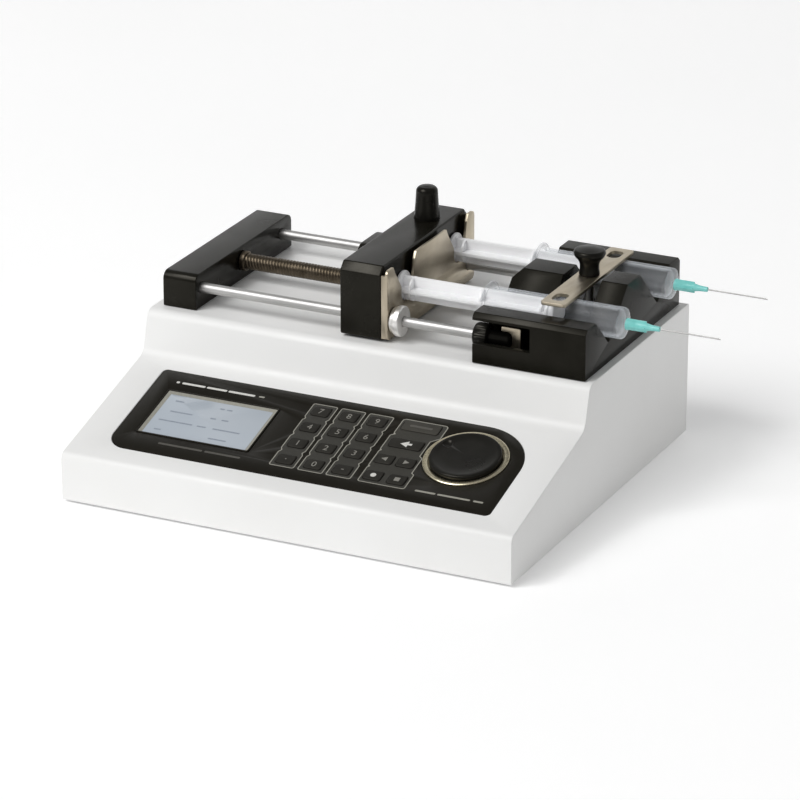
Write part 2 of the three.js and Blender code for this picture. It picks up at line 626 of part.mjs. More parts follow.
// The thumb nut that closes over the front rod's end, in the open corner of the holder.
function rodNut() {
  const { left, shoulder, right, headRadius, neckRadius } = NUT;
  const bore = SHAFT.rodRadius + GAP;
  const profile = [[bore, left], [headRadius - 0.8, left], [headRadius, left + 1], [headRadius, shoulder - 2],
    [headRadius - 0.8, shoulder - 0.8], [neckRadius + 0.2, shoulder], [neckRadius, right - 1.5],
    [neckRadius - 0.9, right - 0.2], [0, right], [0, ROD_END.front + 0.4], [bore, ROD_END.front + 0.4],
    [bore, left]];
  return turned('x', profile, SHAFT.frontY, SHAFT.z);
}

// The steel plate that stands round the nut's neck, with a notch for it.
function rodPlate() {
  const notch = NUT.neckRadius + 0.4;
  const low = POCKET.low + GAP;
  const high = POCKET.ceiling - GAP;
  const notchEnd = NUT.right + 0.6;
  const outline = rounded([[low, 78, 1], [SHAFT.z - notch, 78], [SHAFT.z - notch, notchEnd, 3],
    [SHAFT.z + notch, notchEnd, 3], [SHAFT.z + notch, 78], [high, 78, 1],
    [high, 90, 1], [low, 90, 1]], 3);
  return prism('y', outline, SHAFT.frontY - 0.8, SHAFT.frontY + 0.8);
}

function clampPost() {
  const profile = [[0, 88.3], [3, 88.3], [3, 128.2], [2.4, 128.8], [0, 128.8]];
  return turned('z', profile, CLAMP.x, CLAMP.y);
}

// The slotted steel bar across both barrels.
function clampStrip() {
  const { x, y, width, front, back, z, thickness } = CLAMP;
  const outline = roundedRectangle(x - width / 2, x + width / 2, front, back, 1.6, 3);
  const hole = new THREE.Path().absarc(x, y, 3.3, 0, 2 * Math.PI).getPoints(24);
  hole.pop();
  const slots = [[front + 5, front + 17], [back - 17, back - 5]].map(([from, to]) => (
    roundedRectangle(x - 4, x + 4, from, to, 3.9, 4)));
  return prism('z', outline, z, z + thickness, [hole, ...slots]);
}

function clampKnob() {
  const low = CLAMP.z + CLAMP.thickness + GAP;
  const profile = [[3.3, low], [6, low], [5.6, low + 3], [5.7, low + 6.5], [7, 126.6], [9, 128.6], [9.3, 130],
    [9.1, 131.4], [8.2, 132.4], [4, 133.3], [0, 133.6], [0, 129.4], [3.3, 129.4], [3.3, low]];
  return turned('z', profile, CLAMP.x, CLAMP.y);
}

body.add(
  piece('holder_block', holderBlock(), blackGloss),
  piece('rod_nut', rodNut(), blackPlastic),
  piece('rod_plate', rodPlate(), brushedSteel),
  piece('clamp_post', clampPost(), polishedSteel),
  piece('clamp_strip', clampStrip(), brushedSteel),
  piece('clamp_knob', clampKnob(), blackPlastic),
);

// ---------------------------------------------------------------- syringes

function barrel(y) {
  const { radius, bore, z } = SYRINGE;
  const { left, nose, end, flangeRadius } = BARREL;
  const profile = [[bore, left], [flangeRadius, left], [flangeRadius, left + 2], [radius, left + 2],
    [radius, end - 0.8], [radius - 0.8, end], [2.2, end], [2, end + 8], [0.8, end + 8], [0.8, nose],
    [bore, nose], [bore, left]];
  return turned('x', profile, y, z, FINE);
}

// The plunger: a thumb disc, a ribbed rod of cross section and the seal at its end.
function plunger(y) {
  const { z } = SYRINGE;
  const head = [CARRIAGE.right + GAP, CARRIAGE.right + GAP + 2];
  const [arm, web] = [7.2, 1.1];
  const disc = cylinder('x', 9.6, head[0], head[1], y, z, FINE);
  const across = block(head[1] - 0.5, 98.5, y - arm, y + arm, z - web, z + web);
  const upright = block(head[1] - 0.5, 98.5, y - web, y + web, z - arm, z + arm);
  const seal = turned('x', [[0, 98], [7.8, 98], [7.8, 105], [3, 107.4], [0, 108]], y, z);
  return join(disc, across, upright, seal);
}

// The needle with its hub: a tapered socket over the barrel's nozzle, then the cannula.
function needle(y) {
  const { start, end } = HUB;
  const { radius, tip } = NEEDLE;
  const profile = [[2.5, start], [3.5, start], [3.5, start + 1.4], [3.2, start + 1.8], [2.9, start + 9],
    [1.9, start + 14], [1.5, end], [radius, end], [radius, tip - 1.6], [0, tip], [0, start + 8],
    [2.3, start + 8], [2.5, start]];
  return turned('x', profile, y, SYRINGE.z, 24);
}

for (const [place, y] of [['front', SYRINGE.frontY], ['back', SYRINGE.backY]]) {
  body.add(
    piece(`barrel_${place}`, barrel(y), clearPlastic),
    piece(`plunger_${place}`, plunger(y), whitePlunger),
    piece(`needle_${place}`, needle(y), hubTeal),
  );
}

// The origin goes under the middle of the whole object, at the feet.
body.position.set(-(NEEDLE.tip - halfWidth) / 2, -HOUSING.depth / 2, FOOT.drop);

export default pump;
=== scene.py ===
# The looks of the bench syringe pump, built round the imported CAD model.
# Shapes are made in millimetres in the housing's own frame: X = 0 in the middle of its width,
# Y = 0 at its front edge and Z = 0 at its lower edge. piece() turns them into the frame's metres.

import math

import bmesh
import bpy
from mathutils import Matrix, Vector


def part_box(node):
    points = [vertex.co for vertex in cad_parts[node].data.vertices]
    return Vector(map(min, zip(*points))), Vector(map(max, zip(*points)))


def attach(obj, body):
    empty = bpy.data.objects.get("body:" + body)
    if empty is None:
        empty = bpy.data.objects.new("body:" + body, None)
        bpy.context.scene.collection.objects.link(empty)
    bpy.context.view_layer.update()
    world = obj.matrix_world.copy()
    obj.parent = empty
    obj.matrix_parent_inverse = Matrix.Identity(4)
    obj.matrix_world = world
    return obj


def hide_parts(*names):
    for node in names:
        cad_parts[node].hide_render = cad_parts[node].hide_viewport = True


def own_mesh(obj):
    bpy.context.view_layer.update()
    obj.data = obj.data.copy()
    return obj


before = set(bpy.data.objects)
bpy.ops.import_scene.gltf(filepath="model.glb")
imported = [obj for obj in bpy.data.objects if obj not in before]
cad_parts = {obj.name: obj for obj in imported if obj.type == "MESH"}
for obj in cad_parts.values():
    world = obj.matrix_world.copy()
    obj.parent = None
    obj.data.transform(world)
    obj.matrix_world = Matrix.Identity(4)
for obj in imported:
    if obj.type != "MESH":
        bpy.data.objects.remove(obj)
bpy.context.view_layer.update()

MM = 0.001
GAP = 0.3
FINE = 96
scene = bpy.context.scene


# ---------------------------------------------------------------- places taken from the frame

shell_low, shell_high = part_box("housing_shell")
ORIGIN = Vector(((shell_low.x + shell_high.x) / 2, shell_low.y, shell_low.z))
TO_FRAME = Matrix.Translation(ORIGIN) @ Matrix.Scale(MM, 4)


def node_box(node):
    """The node's lowest and highest corner in the housing's frame, in millimetres."""
    low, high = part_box(node)
    return (low - ORIGIN) / MM, (high - ORIGIN) / MM


def node_middle(node):
    return sum(node_box(node), Vector()) / 2


def node_span(node):
    """The node's lowest corner, its highest corner and its middle."""
    return *node_box(node), node_middle(node)


WIDTH = (shell_high.x - shell_low.x) / MM
DEPTH = (shell_high.y - shell_low.y) / MM
DECK = (shell_high.z - shell_low.z) / MM
WALL = 2.5
SLOPE_FOOT = 28.1
SLOPE_HEAD = (98.3, 55.3)
DECK_FRONT = 105.2
SLOPE_ANGLE = math.atan2(SLOPE_HEAD[1] - SLOPE_FOOT, SLOPE_HEAD[0])
# The control panel's frame: x across, y up the slope, z out of it.
PANEL = Matrix.Translation((0, 0, SLOPE_FOOT)) @ Matrix.Rotation(SLOPE_ANGLE, 4, "X")

FRONT_ROD = node_middle("guide_rod_front")
BACK_ROD = node_middle("guide_rod_back")
SCREW = node_middle("lead_screw")
SYRINGES = {"front": node_middle("barrel_front"), "back": node_middle("barrel_back")}
CLUTCH = node_middle("clutch_knob")
CLAMP = node_middle("clamp_knob")
RODS = (FRONT_ROD, BACK_ROD)
ROD_RADIUS = 3
ROD_BORE = ROD_RADIUS + GAP
SCREW_BORE = 3.4
BELT_ROOM = (161, 185)              # the belt's space in the end block and the deck, along Y
BARREL_RADIUS = 9.15
BARREL_BORE = 8.15
SHEET = 1.6                         # thickness of the pusher plate


# ---------------------------------------------------------------- mesh tools

AXES = {
    "x": Matrix(((0, 0, 1), (1, 0, 0), (0, 1, 0))),
    "y": Matrix(((0, 1, 0), (0, 0, 1), (1, 0, 0))),
    "z": Matrix.Identity(3),
}


def made(mesh_source, name="solid"):
    """An object from a bmesh, with its faces turned outwards."""
    bmesh.ops.recalc_face_normals(mesh_source, faces=mesh_source.faces)
    mesh = bpy.data.meshes.new(name)
    mesh_source.to_mesh(mesh)
    mesh_source.free()
    solid = bpy.data.objects.new(name, mesh)
    scene.collection.objects.link(solid)
    return solid


def rounded(corners, steps=8):
    """An outline whose corners, given as (u, v, radius), are rounded by arcs."""
    points = []
    count = len(corners)
    for i, (u, v, radius) in enumerate(corners):
        here = Vector((u, v))
        if radius <= 0:
            points.append(here)
            continue
        back = (Vector(corners[i - 1][:2]) - here).normalized()
        on = (Vector(corners[(i + 1) % count][:2]) - here).normalized()
        half = math.acos(max(-1.0, min(1.0, back.dot(on)))) / 2
        middle = here + (back + on).normalized() * (radius / math.sin(half))
        start = here + back * (radius / math.tan(half)) - middle
        end = here + on * (radius / math.tan(half)) - middle
        turn = math.atan2(start.x * end.y - start.y * end.x, start.dot(end))
        for k in range(steps + 1):
            points.append(middle + Matrix.Rotation(turn * k / steps, 2) @ start)
    return points


def rectangle(u0, u1, v0, v1, radius, steps=6):
    return rounded([(u0, v0, radius), (u1, v0, radius), (u1, v1, radius), (u0, v1, radius)], steps)


def circle(u, v, radius, sides=64):
    turns = [2 * math.pi * k / sides for k in range(sides)]
    return [Vector((u + radius * math.cos(t), v + radius * math.sin(t))) for t in turns]


def stitched(outlines, endless=False):
    """A body through outlines of equally many points, capped unless the last meets the first."""
    mesh = bmesh.new()
    rings = [[mesh.verts.new(spot) for spot in outline] for outline in outlines]
    if not endless:
        mesh.faces.new(rings[0])
        mesh.faces.new(rings[-1])
    for a, b in zip(rings, rings[1:] + rings[:1] if endless else rings[1:]):
        for k in range(len(a)):
            mesh.faces.new((a[k - 1], a[k], b[k], b[k - 1]))
    return made(mesh)


def prism(axis, outline, start, end):
    """A prism along an axis. Its outline is in (y, z) along x, (z, x) along y, (x, y) along z."""
    ends = (start, end)
    return stitched([[AXES[axis] @ Vector((p[0], p[1], z)) for p in outline] for z in ends])


def block(x0, x1, y0, y1, z0, z1):
    return prism("z", [(x0, y0), (x1, y0), (x1, y1), (x0, y1)], z0, z1)


def turned(axis, profile, u=0.0, v=0.0, sides=FINE):
    """A body of revolution. The profile's points are (radius, distance along the axis)."""
    mesh = bmesh.new()
    closed = profile[0] == profile[-1]
    rings = []
    for radius, along in profile[:-1] if closed else profile:
        steps = sides if radius > 0 else 1
        ring = []
        for k in range(steps):
            t = 2 * math.pi * k / sides
            spot = Vector((u + radius * math.cos(t), v + radius * math.sin(t), along))
            ring.append(mesh.verts.new(AXES[axis] @ spot))
        rings.append(ring)
    pairs = list(zip(rings, rings[1:]))
    if closed:
        pairs.append((rings[-1], rings[0]))
    for a, b in pairs:
        for k in range(sides):
            n = (k + 1) % sides
            corners = [a[k % len(a)], a[n % len(a)], b[n % len(b)], b[k % len(b)]]
            face = list(dict.fromkeys(corners))
            if len(face) > 2:
                mesh.faces.new(face)
    return made(mesh)


def rod(axis, radius, start, end, u=0.0, v=0.0, sides=48):
    return turned(axis, [(0, start), (radius, start), (radius, end), (0, end)], u, v, sides)


def moved(solid, matrix):
    solid.data.transform(matrix)
    return solid


def baked(solid):
    """Applies the object's modifiers."""
    graph = bpy.context.evaluated_depsgraph_get()
    mesh = bpy.data.meshes.new_from_object(solid.evaluated_get(graph))
    solid.modifiers.clear()
    solid.data = mesh
    return solid


def combined(solid, tools, operation):
    for tool in tools:
        modifier = solid.modifiers.new("combine", "BOOLEAN")
        modifier.operation = operation
        modifier.solver = "EXACT"
        modifier.object = tool
        baked(solid)
        bpy.data.objects.remove(tool)
    return solid


def cut(solid, *tools):
    return combined(solid, tools, "DIFFERENCE")


def join(solid, *others):
    return combined(solid, others, "UNION")


def gathered(solids):
    """One object that holds several solids which don't touch."""
    mesh = bmesh.new()
    for solid in solids:
        mesh.from_mesh(solid.data)
        bpy.data.objects.remove(solid)
    return made(mesh)


def softened(solid, width, segments=3, angle=35):
    """Rounds the solid's sharp edges."""
    clean = bmesh.new()
    clean.from_mesh(solid.data)
    bmesh.ops.remove_doubles(clean, verts=clean.verts, dist=1e-4)
    bmesh.ops.dissolve_limit(clean, angle_limit=math.radians(0.5), verts=clean.verts, edges=clean.edges)
    clean.to_mesh(solid.data)
    clean.free()
    modifier = solid.modifiers.new("soften", "BEVEL")
    modifier.width = width
    modifier.segments = segments
    modifier.limit_method = "ANGLE"
    modifier.angle_limit = math.radians(angle)
    return baked(solid)


def piece(name, solid, look, body, replaces=(), smooth=38):
    """Finishes a solid: its place, its shading, its material and the body that it moves with."""
    moved(solid, TO_FRAME)
    solid.name = name
    solid.data.name = name
    solid.data.materials.append(LOOKS[look])
    solid.data.shade_smooth()
    solid.data.set_sharp_from_angle(angle=math.radians(smooth))
    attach(solid, body)
    if replaces:
        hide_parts(*replaces)
    return solid


# ---------------------------------------------------------------- materials


class Look:
    """A procedural material round one Principled shader, in the frame's metres."""

    def __init__(self, name, color, roughness, metallic=0.0, **sockets):
        self.material = bpy.data.materials.new(name)
        self.material.use_nodes = True
        self.nodes = self.material.node_tree.nodes
        self.links = self.material.node_tree.links
        self.shader = self.nodes["Principled BSDF"]
        self.shader.inputs["Base Color"].default_value = (*color, 1)
        self.shader.inputs["Roughness"].default_value = roughness
        self.shader.inputs["Metallic"].default_value = metallic
        for socket, value in sockets.items():
            self.shader.inputs[socket.replace("_", " ")].default_value = value
        self.height = None

    def noise(self, scale, detail=3.0, stretch=(1, 1, 1)):
        coordinates = self.nodes.new("ShaderNodeTexCoord")
        mapping = self.nodes.new("ShaderNodeMapping")
        mapping.inputs["Scale"].default_value = stretch
        noise = self.nodes.new("ShaderNodeTexNoise")
        noise.inputs["Scale"].default_value = scale
        noise.inputs["Detail"].default_value = detail
        self.links.new(coordinates.outputs["Object"], mapping.inputs["Vector"])
        self.links.new(mapping.outputs["Vector"], noise.inputs["Vector"])
        return noise.outputs["Fac"]

    def ramp(self, source, low, high, start=0.3, end=0.7):
        node = self.nodes.new("ShaderNodeMapRange")
        self.links.new(source, node.inputs["Value"])
        values = {"From Min": start, "From Max": end, "To Min": low, "To Max": high}
        for socket, value in values.items():
            node.inputs[socket].default_value = value
        return node.outputs["Result"]

    def color(self, source, dark, light, start=0.3, end=0.7):
        node = self.nodes.new("ShaderNodeMix")
        node.data_type = "RGBA"
        self.links.new(self.ramp(source, 0, 1, start, end), node.inputs["Factor"])
        node.inputs["A"].default_value = (*dark, 1)
        node.inputs["B"].default_value = (*light, 1)
        self.links.new(node.outputs["Result"], self.shader.inputs["Base Color"])
        return self

    def roughness(self, source, low, high, start=0.3, end=0.7):
        self.links.new(self.ramp(source, low, high, start, end), self.shader.inputs["Roughness"])
        return self

    def bump(self, source, distance, strength=1.0):
        node = self.nodes.new("ShaderNodeBump")
        node.inputs["Strength"].default_value = strength
        node.inputs["Distance"].default_value = distance
        self.links.new(source, node.inputs["Height"])
        if self.height:
            self.links.new(self.height, node.inputs["Normal"])
        self.links.new(node.outputs["Normal"], self.shader.inputs["Normal"])
        self.height = node.outputs["Normal"]
        return self


# The tint of the highlights on the black anodized and moulded pieces.
WARM = (1, 0.95, 0.82, 1)


def toned(name, tone, roughness, metallic=0.0, **sockets):
    """A look whose colour wanders between two shades: (noise scale, detail, dark, light)."""
    scale, detail, dark, light = tone
    look = Look(name, light, roughness, metallic, **sockets)
    return look.color(look.noise(scale, detail), dark, light)


def grained(name, tone, size, depth, roughness, spread, **sockets):
    """Fine moulded or coated texture with slow changes of gloss."""
    look = toned(name, tone, roughness, **sockets)
    look.roughness(look.noise(45, 5), roughness - spread, roughness + spread)
    return look.bump(look.noise(1 / (size * MM), 2), depth * MM).material


def brushed(name, tone, along, size, depth, roughness, spread):
    """Metal with fine parallel lines along one axis."""
    look = toned(name, tone, roughness, 1.0)
    stretch = [1.0, 1.0, 1.0]
    stretch["xyz".index(along)] = 0.02
    lines = look.noise(1 / (size * MM), 3, stretch)
    look.roughness(lines, roughness - spread, roughness + spread)
    return look.bump(lines, depth * MM, 0.6).material


def black_block(name, gloss):
    tone = (60, 5, (0.006, 0.0055, 0.0038), (0.011, 0.0103, 0.008))
    return grained(name, tone, 0.35, 0.004, 0.24, 0.05, Specular_IOR_Level=gloss, Specular_Tint=WARM)


def black_plastic(name, roughness, size, depth, level=0.022, gloss=0.2):
    tone = (80, 4, *[(level * k, level * k * 0.95, level * k * 0.82) for k in (0.8, 1.25)])
    return grained(name, tone, size, depth, roughness, 0.06, Specular_IOR_Level=gloss,
                   Specular_Tint=WARM)


def print_ink(name, color):
    look = toned(name, (900, 3, [c * 0.82 for c in color], color), 0.5)
    return look.bump(look.noise(3000, 2), 0.003 * MM).material


def turned_steel():
    """Turned about X: the tool's fine rings lie across the axis."""
    look = toned("turned_steel", (300, 4, (0.84, 0.825, 0.8), (0.93, 0.915, 0.89)), 0.43, 1.0)
    rings = look.noise(5200, 2, (1, 0.002, 0.002))
    return look.roughness(rings, 0.36, 0.5).bump(rings, 0.004 * MM).material


def champagne():
    look = toned("champagne_ring", (400, 4, (0.6, 0.54, 0.38), (0.72, 0.66, 0.49)), 0.3, 1.0)
    look.roughness(look.noise(1500, 3), 0.24, 0.38)
    return look.bump(look.noise(4000, 2), 0.003 * MM).material


def clear_barrel():
    """Clear plastic that is nearly invisible face on and milky at its edges."""
    look = toned("clear_barrel", (60, 3, (0.82, 0.87, 0.93), (0.9, 0.93, 0.97)), 0.16,
                 IOR=1.49, Coat_Weight=0.6, Coat_Roughness=0.08)
    look.roughness(look.noise(90, 4), 0.12, 0.24)
    edge = look.nodes.new("ShaderNodeLayerWeight")
    alpha = look.ramp(edge.outputs["Facing"], 0.06, 0.66, 0.35, 1.0)
    look.links.new(alpha, look.shader.inputs["Alpha"])
    return look.bump(look.noise(500, 2), 0.006 * MM).material


def display_surface():
    """The pale lit display, a little bluer towards one side."""
    look = toned("display_surface", (16, 2, (0.41, 0.465, 0.53), (0.5, 0.545, 0.595)), 0.18,
                 Coat_Weight=0.5, Coat_Roughness=0.05)
    look.roughness(look.noise(70, 3), 0.16, 0.24)
    return look.bump(look.noise(2600, 1), 0.002 * MM).material


LOOKS = {
    "shell": grained("white_shell", (14, 4, (0.845, 0.843, 0.83), (0.872, 0.872, 0.862)),
                     0.55, 0.012, 0.42, 0.06, Specular_IOR_Level=0.45),
    "block": black_block("black_block", 0.15),
    "holder": black_block("black_holder", 0.09),
    "knob": black_plastic("black_knob", 0.3, 0.5, 0.01, 0.007, 0.16),
    "socket": black_plastic("black_socket", 0.5, 0.6, 0.02),
    "dial": black_plastic("black_dial", 0.3, 0.4, 0.004, 0.009, 0.18),
    "key": black_plastic("key_rubber", 0.55, 0.4, 0.012, 0.02),
    "key_pale": black_plastic("key_rubber_pale", 0.55, 0.4, 0.012, 0.05),
    "film": grained("panel_film", (30, 4, (0.0078, 0.0066, 0.0045), (0.0108, 0.0095, 0.007)),
                    0.25, 0.006, 0.36, 0.05, Specular_IOR_Level=0.17, Specular_Tint=WARM),
    "film_pale": print_ink("film_pale", (0.032, 0.03, 0.023)),
    "outline": print_ink("outline_ink", (0.36, 0.35, 0.3)),
    "legend": print_ink("legend_ink", (0.27, 0.26, 0.23)),
    "bright": print_ink("bright_ink", (0.75, 0.74, 0.7)),
    "dim": print_ink("dim_ink", (0.085, 0.08, 0.068)),
    "lcd_ink": print_ink("lcd_ink", (0.31, 0.35, 0.41)),
    "rubber": grained("rubber", (250, 5, (0.014, 0.014, 0.014), (0.034, 0.033, 0.032)),
                      0.4, 0.03, 0.85, 0.08, Specular_IOR_Level=0.3),
    "plate": brushed("plate_steel", (70, 5, (0.44, 0.385, 0.29), (0.54, 0.475, 0.37)),
                     "y", 0.12, 0.006, 0.36, 0.09),
    "rod": brushed("rod_steel", (40, 3, (0.45, 0.445, 0.435), (0.55, 0.545, 0.535)),
                   "x", 0.1, 0.002, 0.48, 0.06),
    "turned": turned_steel(),
    "screw": brushed("screw_steel", (160, 5, (0.075, 0.06, 0.041), (0.14, 0.114, 0.083)),
                     "x", 0.2, 0.004, 0.4, 0.08),
    "ring": champagne(),
    "brass": brushed("brass", (200, 5, (0.6, 0.41, 0.16), (0.78, 0.56, 0.24)),
                     "y", 0.15, 0.005, 0.32, 0.08),
    "zinc": brushed("zinc_sheet", (120, 6, (0.42, 0.435, 0.45), (0.58, 0.595, 0.61)),
                    "x", 0.3, 0.006, 0.42, 0.1),
    "clear": clear_barrel(),
    "plunger": grained("plunger_white", (50, 4, (0.94, 0.942, 0.955), (0.965, 0.966, 0.975)),
                       0.5, 0.006, 0.32, 0.06, Subsurface_Weight=0.35,
                       Subsurface_Radius=(1, 1, 1), Subsurface_Scale=2 * MM),
    "teal": grained("hub_teal", (200, 3, (0.19, 0.63, 0.59), (0.26, 0.73, 0.69)),
                    0.6, 0.004, 0.28, 0.06, Coat_Weight=0.3),
    "display": display_surface(),
    "board": grained("circuit_board", (300, 6, (0.012, 0.09, 0.04), (0.03, 0.15, 0.07)),
                     0.8, 0.02, 0.4, 0.1),
}
HOUSING = "housing"


# ---------------------------------------------------------------- housing

PANEL_CORNERS = [(-119.5, 15, 12), (119.5, 15, 3), (119.5, 90.5, 33), (-119.5, 90.5, 3)]
PANEL_THICKNESS = 1.2
PANEL_PROUD = 0.1


def panel_outline(grow):
    signs = [(-1, -1), (1, -1), (1, 1), (-1, 1)]
    grown = []
    for (x, s, radius), (a, b) in zip(PANEL_CORNERS, signs):
        grown.append((x + a * grow, s + b * grow, max(radius + grow, 0.5)))
    return rounded(grown, 16)


def on_panel(solid):
    return moved(solid, PANEL)


def inset(corners, distance):
    """The outline's corners moved inwards by a distance; the outline runs anticlockwise."""
    result = []
    for i, (u, v) in enumerate(corners):
        before = Vector((u, v)) - Vector(corners[i - 1])
        after = Vector(corners[(i + 1) % len(corners)]) - Vector((u, v))
        a = Vector((-before.y, before.x)).normalized()
        b = Vector((-after.y, after.x)).normalized()
        middle = (a + b).normalized()
        step = middle * (distance / middle.dot(a))
        result.append((u + step.x, v + step.y))
    return result


def housing_shell():
    outer = [(0, 0, 1), (DEPTH, 0, 0.8), (DEPTH, DECK, 2), (DECK_FRONT, DECK, 6.5)]
    outer += [(*SLOPE_HEAD, 8), (0, SLOPE_FOOT, 5)]
    beyond = WALL + 1
    open_corners = []
    for y, z, _ in outer:
        open_corners.append((y + beyond if y > DEPTH - 1 else y, z - beyond if z < 1 else z))
    inner = []
    for (y, z), (_, _, radius) in zip(inset(open_corners, WALL), outer):
        inner.append((y, z, 4 if radius > 4 else 0))
    half = WIDTH / 2
    shell = prism("x", rounded(outer, 14), -half, half)
    hollow = prism("x", rounded(inner, 8), WALL - half, half - WALL)
    seat = on_panel(prism("z", panel_outline(GAP), PANEL_PROUD - PANEL_THICKNESS - GAP, 6))
    opening = on_panel(prism("z", panel_outline(-3), -7, 6))
    belt_slot = block(-131, -116, *BELT_ROOM, DECK - WALL - 1, DECK + 1)
    return softened(cut(shell, hollow, seat, opening, belt_slot), 0.7, 3, 50)


piece("shell", housing_shell(), "shell", HOUSING, ["housing_shell"], 30)


def foot(node):
    """A rubber foot with a rounded rim and a ring groove underneath."""
    low, high, middle = node_span(node)
    radius = (high.x - low.x) / 2
    profile = [(0, low.z + 0.5), (3, low.z + 0.5), (3.4, low.z), (radius - 1.2, low.z)]
    profile += [(radius - 0.3, low.z + 0.4), (radius, low.z + 1.2), (radius - 0.4, high.z), (0, high.z)]
    return turned("z", profile, middle.x, middle.y, 64)


for end in ("front", "back"):
    for side in ("left", "right"):
        node = f"foot_{end}_{side}"
        piece(f"rubber_{node}", foot(node), "rubber", HOUSING, [node])


VENT_ROWS, VENT_COLUMNS = 3, 9
VENT_CORNER = (-108, 22)
VENT_PITCH = (9, 16)
VENT_SIZE = (3, 11)
INLET_WINDOW = (28.8, 13.8)         # half of the inlet's opening, across and up


def rear_panel():
    """The sheet behind, with rows of cooling slots beside the mains inlet."""
    low, high = node_box("rear_panel")
    inlet = node_middle("power_entry")
    plate = block(low.x, high.x, low.y, high.y, low.z, high.z)
    across, up = INLET_WINDOW
    window = block(inlet.x - across, inlet.x + across, low.y - 1, high.y + 1, inlet.z - up, inlet.z + up)
    slots = []
    for row in range(VENT_ROWS):
        for column in range(VENT_COLUMNS):
            x = VENT_CORNER[0] + VENT_PITCH[0] * column
            z = VENT_CORNER[1] + VENT_PITCH[1] * row
            outline = rectangle(z, z + VENT_SIZE[1], x, x + VENT_SIZE[0], 1.45, 5)
            slots.append(prism("y", outline, low.y - 1, high.y + 1))
    port = prism("y", rectangle(low.z + 26, low.z + 36, 6, 28, 2, 5), low.y - 1, high.y + 1)
    return softened(cut(plate, window, gathered(slots), port), 0.2, 2, 50)


piece("rear_sheet", rear_panel(), "zinc", HOUSING, ["rear_panel"])


def data_port():
    """A nine-pin socket behind its opening in the rear sheet."""
    low, high = node_box("rear_panel")
    z0, z1 = low.z + 26.6, low.z + 35.4
    outline = rounded([(z0, 8.4, 2), (z0, 25.6, 2), (z1, 27, 2), (z1, 7, 2)], 6)
    body = prism("y", outline, low.y - 4, high.y + 1.6)
    holes = []
    for row, count in enumerate((4, 5)):
        for k in range(count):
            x = 17 + 2.8 * (k - (count - 1) / 2)
            holes.append(rod("y", 0.6, high.y - 2, high.y + 3, (z0 + z1) / 2 - 1.6 + 3.2 * row, x, 16))
    return softened(cut(body, gathered(holes)), 0.25, 2)


piece("data_port", data_port(), "socket", HOUSING)


def cross_screw(axis, radius, height):
    """A domed cross-head screw that stands on the plane through 0, along the axis."""
    profile = [(0, 0), (radius, 0), (radius, height * 0.35), (radius * 0.8, height * 0.8)]
    profile += [(radius * 0.4, height), (0, height)]
    head = turned(axis, profile, 0, 0, 32)
    arm = radius * 0.55
    reach = (height * 0.4, height + 1)
    sides = [rectangle(-arm, arm, -0.22, 0.22, 0.1, 2), rectangle(-0.22, 0.22, -arm, arm, 0.1, 2)]
    return cut(head, *[prism(axis, side, *reach) for side in sides])


def rear_screws():
    low, high = node_box("rear_panel")
    heads = []
    for x in (low.x + 6, 0, high.x - 6):
        for z in (low.z + 5, high.z - 5):
            heads.append(moved(cross_screw("y", 2.6, 1.6), Matrix.Translation((x, high.y, z))))
    for x in (2.5, 31.5):
        heads.append(moved(cross_screw("y", 1.8, 1.4), Matrix.Translation((x, high.y, low.z + 31))))
    return gathered(heads)


piece("rear_screws", rear_screws(), "turned", HOUSING)


def base_screws():
    """The screws under the base plate, near its edges."""
    low, high = node_box("base_plate")
    down = Matrix.Rotation(math.pi, 4, "X")
    heads = []
    for x in (low.x + 8, (low.x + high.x) / 2, high.x - 8):
        for y in (low.y + 8, high.y - 8):
            heads.append(moved(cross_screw("z", 2.6, 1.4), Matrix.Translation((x, y, low.z)) @ down))
    return gathered(heads)


piece("base_screws", base_screws(), "turned", HOUSING)


def power_entry():
    """The flanged mains inlet with its socket and the rocker's well."""
    low, high, middle = node_span("power_entry")
    rocker = node_middle("switch_rocker")
    flange = prism("y", rectangle(low.z, high.z, low.x, high.x, 2.4), high.y - 2, high.y)
    flange = softened(flange, 0.5, 3)
    can = block(low.x + 1.5, high.x - 1.5, low.y, high.y - 1, low.z + 1.5, high.z - 1.5)
    left, right = middle.x - 26, middle.x - 2
    bottom, top = middle.z - 8, middle.z + 8
    outline = rounded([(bottom, left, 1.2), (top, left, 5), (top, right, 5), (bottom, right, 1.2)])
    recess = prism("y", outline, high.y - 16, high.y + 2)
    well = prism("y", rectangle(rocker.z - 9.8, rocker.z + 9.8, rocker.x - 6.8, rocker.x + 6.8, 0.6),
                 high.y - 11, high.y + 2)
    return cut(join(flange, can), recess, well)


def inlet_pins():
    high = node_box("power_entry")[1]
    middle = node_middle("power_entry")
    pins = []
    for dx, dz in ((-7, -1.5), (0, 2.5), (7, -1.5)):
        x, z = middle.x - 14 + dx, middle.z + dz
        pins.append(softened(block(x - 1, x + 1, high.y - 17, high.y - 8, z - 2, z + 2), 0.4, 2))
    return gathered(pins)


def rocker_switch():
    """The rocker, leaning one way, with two small moulded marks."""
    low, high, middle = node_span("switch_rocker")
    lean = Matrix.Rotation(math.radians(8), 4, "X")
    outline = rounded([(-9, -1.5, 0.6), (9, -1.5, 0.6), (9, 3.4, 0.9), (0, 1.6, 30), (-9, 3.4, 0.9)], 8)
    cap = prism("x", [(v, u) for u, v in outline], low.x - middle.x, high.x - middle.x)
    ring = turned("y", [(1.3, 2), (1.8, 2), (1.8, 3.4), (1.3, 3.4), (1.3, 2)], -5.4, 0, 32)
    bar = block(-0.3, 0.3, 2, 3.4, 3.6, 7)
    cap = cut(softened(cap, 0.35, 3), ring, bar)
    pivot = Matrix.Translation((middle.x, 243.6, middle.z))
    return moved(moved(cap, lean), pivot)


